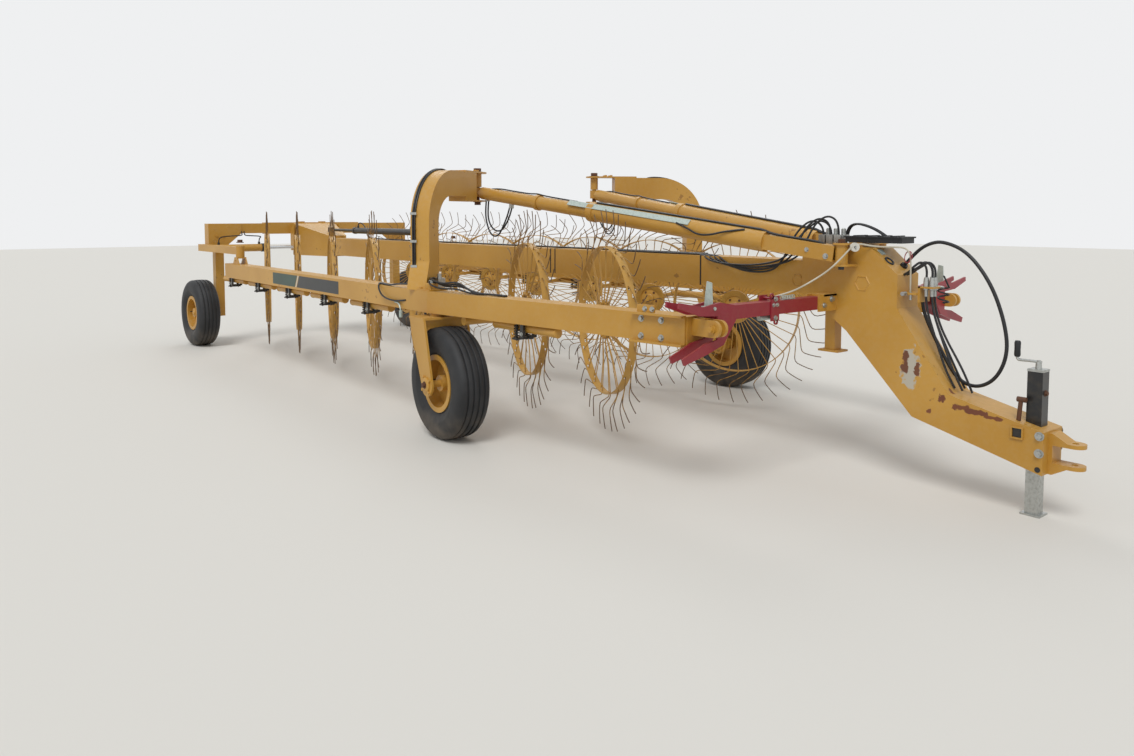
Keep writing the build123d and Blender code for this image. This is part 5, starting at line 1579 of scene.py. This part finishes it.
@dataclass
class Arms:
    """What the rake arms carry: end caps on the trailing arms, decal bands, hoses along the top and bolts."""

    finishes: Finishes
    fasteners: Fasteners
    carriers: tuple[tuple[float, float], ...] = (
        (6.440, 0.680), (4.400, 0.950), (3.540, 0.950), (2.680, 0.950), (1.820, 0.950), (0.960, 0.950),
    )

    def build(self) -> None:
        """Makes the pieces."""
        self.bands()
        self.hoses()
        self.caps()
        for back, height in ((0.1519, 0.890), (0.1519, 0.985), (0.2900, 0.890), (0.2900, 0.985)):
            self.fasteners.pair("arm", "zinc", Frames.front_arm(back, 0.0880, height),
                                Frames.front_run.cross(Vector((0.0, 0.0, 1.0))), 0.024)
        for back, height in ((0.2150, 1.040), (0.2650, 1.040)):
            self.fasteners.pair("arm", "zinc", Frames.front_arm(back, 0.0880, height),
                                Frames.front_run.cross(Vector((0.0, 0.0, 1.0))), 0.020)
        self.fasteners.pair("arm", "yellow", (ahead(7.910), -1.277, 0.960), (0.0, -1.0, 0.0), 0.030)

    def bands(self) -> None:
        """The colour bands on the arm's outer face: green, a slanted pale line and black, with no lettering."""
        for name, start, end, slant, finish in (
            ("green", 2.480, 3.050, 0.060, self.finishes.green),
            ("pale", 3.062, 3.084, 0.060, self.finishes.nylon),
            ("black", 3.096, 4.030, 0.060, self.finishes.film),
        ):
            band = Shape()
            corners = [(start, 0.885), (end, 0.885), (end + slant, 0.993), (start + slant, 0.993)]
            if name == "black":
                corners[1:3] = [(end, 0.885), (end, 0.993)]
            if name == "green":
                corners[3] = (start, 0.993)
            points = [Frames.rear_arm(x, out, z) for out in (0.0758, 0.0766) for x, z in corners]
            faces = [(0, 3, 2, 1), (4, 5, 6, 7), (0, 1, 5, 4), (1, 2, 6, 5), (2, 3, 7, 6), (3, 0, 4, 7)]
            band.shell(points, faces)
            show_pair(f"{name}_band", band, "arm", finish)

    def hoses(self) -> None:
        """The hoses that lie along the arm's top round the arch, with their sag at the kink."""
        lines = Shape()
        # Two come down the post's edge, swing out over the arm's side and enter it on top
        for shift in (0.0, 0.018):
            lines.hose(
                [Frames.arch(-0.083, 1.090, -0.052 + shift), Frames.arch(-0.096, 1.052, -0.050 + shift),
                 Frames.rear_arm(5.080, 0.078 - shift, 1.040), Frames.rear_arm(4.960, 0.070 - shift, 1.0225),
                 Frames.rear_arm(4.780, 0.050 - shift, 1.0225), Frames.rear_arm(4.700, 0.030 - shift, 1.024),
                 Frames.rear_arm(4.670, 0.020 - shift, 1.008)],
                0.0065,
            )
        lines.hose(
            [Frames.rear_arm(4.760, 0.030, 1.0215), Frames.rear_arm(4.780, 0.074, 1.028),
             Frames.rear_arm(4.820, 0.096, 0.985), Frames.rear_arm(4.900, 0.100, 0.930),
             Frames.rear_arm(5.060, 0.092, 0.912), Frames.rear_arm(5.200, 0.084, 0.925), Frames.rear_arm(5.225, 0.074, 0.930)],
            0.0065,
        )
        # A loose bundle lies along the top ahead of the post
        for number in range(4):
            side = 0.018 * number - 0.050
            lift = 0.012 + 0.011 * ((number * 3) % 4)
            start = Frames.arch(0.082, 1.100 - 0.02 * number, 0.030 - 0.016 * number)
            lines.hose(
                [start, start + Vector((0.050, -0.010, 0.004)), (ahead(5.480), -1.478 + side, 1.060 + lift),
                 (ahead(5.640), -1.466 + side, 1.0225 + lift), (ahead(5.800), -1.448 + side * 0.6, 1.030 + lift * 1.5),
                 (ahead(5.980), -1.430 + side, 1.0225), (ahead(6.150), -1.412 - side * 0.5, 1.026),
                 (ahead(6.260), -1.400 - side * 0.3, 1.0225)],
                0.0065,
            )
        show_pair("arm_hoses", lines, "arm", self.finishes.hose)
        valve = Shape()
        valve.box((0.070, 0.060, 0.075), Matrix.Translation(Frames.arch(0.010, 1.055, 0.110)))
        valve.lathe([(0.0, 0.0), (0.017, 0.0), (0.017, 0.030), (0.0, 0.030)], 16,
                    Matrix.Translation(Frames.arch(0.010, 1.0925, 0.110)))
        show_pair("arch_valve", valve, "arm", self.finishes.zinc)

    def caps(self) -> None:
        """The end caps of the trailing arms and the bolts and springs on their clamps."""
        axle = Vector((math.sin(math.radians(21.5)), math.cos(math.radians(21.5)), 0.0))
        caps = Shape()
        springs = Shape()
        for x, y in self.carriers:
            if x < 5.530:
                arm_y = 1.360 + (x - 0.980) / 4.550 * 0.120
            else:
                arm_y = 1.480 - (x - 5.530) / 2.220 * 0.250
            foot = Vector((ahead(x), -y, 0.0)) - axle * ((arm_y - y) / axle.y)
            for end, turn in ((foot.x - 0.030, -1.0), (foot.x + 0.610, 1.0)):
                caps.lathe([(0.0, 0.0), (0.0325, 0.0), (0.0325, 0.006), (0.026, 0.010), (0.0, 0.010)], 24,
                           place_along((end, foot.y, 0.8327), (turn, 0.0, 0.0)))
            clamp_x = foot.x + 0.316
            for side in (-1.0, 1.0):
                spot = (clamp_x, foot.y + side * 0.0555, 0.800)
                self.fasteners.pair("arm", "zinc", spot, (0.0, side, 0.0), 0.017)
                coil = []
                for step in range(40):
                    angle = math.tau * step / 8
                    coil.append((clamp_x - 0.070 + 0.017 * math.cos(angle), foot.y + side * 0.040 + 0.017 * math.sin(angle),
                                 0.856 - 0.0022 * step))
                springs.rod(coil, 0.0040, 6)
                springs.rod([(clamp_x - 0.070, foot.y + side * 0.040, 0.858), (clamp_x - 0.070, foot.y + side * 0.040, 0.752)],
                            0.007)
            springs.box((0.050, 0.120, 0.012), Matrix.Translation((clamp_x - 0.070, foot.y, 0.764)))
            springs.box((0.110, 0.030, 0.016), Matrix.Translation((clamp_x - 0.020, foot.y, 0.776)))
        show_pair("carrier_caps", caps, "arm", self.finishes.yellow)
        show_pair("clamp_springs", springs, "arm", self.finishes.black)


@dataclass
class RearEnd:
    """What is on the cross tube and its legs: plug welds, rod-eye caps, the cylinders' ends and their hoses."""

    finishes: Finishes
    fasteners: Fasteners

    def build(self) -> None:
        """Makes the pieces."""
        welds = Shape()
        for y, z in ((-1.251, 1.389), (-1.095, 1.388), (-0.962, 1.386), (-1.251, 1.240)):
            welds.lathe([(0.014, -0.001), (0.018, 0.0024), (0.023, -0.001)], 28,
                        place_along((ahead(0.072), y, z), (1.0, 0.0, 0.0)), ring=True)
        show_pair("leg_plug_welds", welds, "slide", self.finishes.yellow)
        ends = Shape()
        ends.lathe([(0.0465, -0.030), (0.0510, -0.030), (0.0510, 0.004), (0.0220, 0.006), (0.0220, 0.002)], 36,
                   place_along((ahead(0.150), -0.690, 1.150), (0.0, 1.0, 0.0)), ring=True)
        ends.rod([(ahead(0.150), -1.230, 1.190), (ahead(0.150), -1.230, 1.222)], 0.014, 12)
        ends.rod([(ahead(0.150), -0.745, 1.190), (ahead(0.150), -0.745, 1.222)], 0.014, 12)
        show_pair("cylinder_ends", ends, "slide", self.finishes.black)
        cap = Shape()
        cap.lathe([(0.0, 0.0), (0.036, 0.0), (0.036, 0.016), (0.030, 0.024), (0.0, 0.024)], 28,
                  place_along((ahead(0.150), -1.290, 1.150), (0.0, -1.0, 0.0)))
        show_pair("rod_eye_cap", cap, "slide", self.finishes.galvanised)
        hoses = Shape()
        for y, end in ((-1.230, -0.930), (-0.745, -0.900)):
            hoses.hose(
                [(ahead(0.150), y, 1.215), (ahead(0.150), y, 1.262), (ahead(0.140), y + 0.040, 1.288),
                 (ahead(0.128), (y + end) / 2, 1.296), (ahead(0.110), end, 1.300), (ahead(0.084), end, 1.322),
                 (ahead(0.080), end, 1.350)],
                0.0065,
            )
        show_pair("cylinder_hoses", hoses, "slide", self.finishes.hose)
        for y in (-1.225, -1.155):
            self.fasteners.pair("slide", "yellow", (ahead(0.072), y, 1.300), (1.0, 0.0, 0.0), 0.024)
        self.fasteners.pair("slide", "iron", (ahead(1.250), -1.360, 1.252), (0.0, 0.0, 1.0), 0.050)
        self.fasteners.pair("frame", "zinc", (ahead(0.150), -0.300, 1.150), (0.0, 1.0, 0.0), 0.044)
        blocks = Shape()
        for y in (-0.140, 0.140):
            blocks.box((0.090, 0.060, 0.012), Matrix.Translation((ahead(0.000), y, 1.4616)))
        show("sleeve_lugs", blocks.mesh("lugs"), "frame", self.finishes.yellow)
        self.ram()

    def ram(self) -> None:
        """The ends, ports and lines of the ram over the main beam."""
        ends = Shape()
        for low, high in ((1.235, 1.275), (2.620, 2.652)):
            ends.lathe([(0.0350, 0.0), (0.0395, 0.0), (0.0395, high - low), (0.0350, high - low)], 36,
                       place_along((ahead(low), 0.0, 1.365), (1.0, 0.0, 0.0)), ring=True)
        for x in (1.330, 2.570):
            ends.rod([(ahead(x), 0.0, 1.395), (ahead(x), 0.0, 1.424)], 0.012, 12)
        show("ram_ends", ends.mesh("ram"), "frame", self.finishes.black)
        lines = Shape()
        for x, side in ((1.330, 0.040), (2.570, 0.062)):
            lines.hose(
                [(ahead(x), 0.0, 1.418), (ahead(x), 0.0, 1.452), (ahead(x + 0.050), side / 2, 1.458),
                 (ahead(x + 0.110), side, 1.400), (ahead(x + 0.150), side, 1.300), (ahead(x + 0.220), side, 1.2745),
                 (ahead(2.900), side, 1.2745)],
                0.0065,
            )
        show("ram_lines", lines.mesh("lines"), "frame", self.finishes.hose)


@dataclass(frozen=True)
class Studio:
    """The floor, the soft light and the camera at the photograph's place."""

    camera_place: tuple[float, float, float] = (6.47, -4.72, 1.55)
    view: tuple[float, float] = (-0.7716, 0.6361)
    pitch: float = math.radians(3.9)
    lens: float = 28.0
    shift: float = -0.0908
    floor_half: float = 40.0

    def build(self) -> None:
        """Makes them."""
        scene = bpy.context.scene
        scene.view_settings.view_transform = "Standard"
        self.camera(scene)
        self.floor()
        self.light(scene)

    def camera(self, scene: bpy.types.Scene) -> None:
        """Puts the camera where the photograph was taken."""
        data = bpy.data.cameras.new("camera")
        data.lens = self.lens
        data.sensor_width = 36.0
        data.shift_y = self.shift
        data.clip_end = 200.0
        camera = bpy.data.objects.new("camera", data)
        scene.collection.objects.link(camera)
        level = math.cos(self.pitch)
        look = Vector((self.view[0] * level, self.view[1] * level, -math.sin(self.pitch)))
        camera.matrix_world = Matrix.Translation(self.camera_place) @ look.to_track_quat("-Z", "Y").to_matrix().to_4x4()
        scene.camera = camera

    def floor(self) -> None:
        """Lays the pale floor."""
        half = self.floor_half
        mesh = bpy.data.meshes.new("floor")
        mesh.from_pydata([(-half, -half, 0), (half, -half, 0), (half, half, 0), (-half, half, 0)], [], [(0, 1, 2, 3)])
        floor = bpy.data.objects.new("floor", mesh)
        bpy.context.scene.collection.objects.link(floor)
        material, tree, shader = new_material("pale_floor")
        shader.inputs["Base Color"].default_value = linear("#dcd9d2")
        shader.inputs["Roughness"].default_value = 0.9
        mesh.materials.append(material)

    def light(self, scene: bpy.types.Scene) -> None:
        """Lights the machine softly from above, and shows a white background."""
        world = bpy.data.worlds.new("studio")
        scene.world = world
        world.use_nodes = True
        tree = world.node_tree
        tree.nodes.clear()
        path = add_node(tree, "ShaderNodeLightPath")
        seen = add_node(
            tree, "ShaderNodeMath", {0: path.outputs["Is Camera Ray"], 1: path.outputs["Is Glossy Ray"]},
            operation="MAXIMUM",
        ).outputs[0]
        seen = add_node(
            tree, "ShaderNodeMath", {0: seen, 1: path.outputs["Is Transmission Ray"]}, operation="MAXIMUM"
        ).outputs[0]
        soft = add_node(tree, "ShaderNodeBackground", {"Color": linear("#eef1f4"), "Strength": 0.62}).outputs[0]
        white = add_node(tree, "ShaderNodeBackground", {"Color": linear("#eff0f1"), "Strength": 1.0}).outputs[0]
        mixed = add_node(tree, "ShaderNodeMixShader", {0: seen, 1: soft, 2: white}).outputs[0]
        add_node(tree, "ShaderNodeOutputWorld", {"Surface": mixed})
        for name, turn, strength in (("key", (38.0, 0.0, 35.0), 1.5), ("fill", (50.0, 0.0, -120.0), 0.35)):
            data = bpy.data.lights.new(name, "SUN")
            data.energy = strength
            data.angle = math.radians(25.0)
            lamp = bpy.data.objects.new(name, data)
            lamp.rotation_euler = tuple(math.radians(a) for a in turn)
            scene.collection.objects.link(lamp)


def main() -> None:
    """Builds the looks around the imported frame."""
    logging.basicConfig(level=logging.INFO, format="%(message)s")
    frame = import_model()
    Studio().build()
    finishes = Finishes()
    Cords(finishes).build()
    finishes.dress_nodes(frame)
    fasteners = Fasteners(finishes)
    RakeWheels(finishes, fasteners).build(frame)
    RoadWheels(finishes, fasteners).build(frame)
    Casters(finishes, fasteners).build()
    Arches(finishes, fasteners).build()
    Booms(finishes, fasteners).build()
    Neck(finishes, fasteners).build()
    Latches(finishes, fasteners).build()
    Arms(finishes, fasteners).build()
    RearEnd(finishes, fasteners).build()
    fasteners.build()


if __name__ == "__main__":
    main()
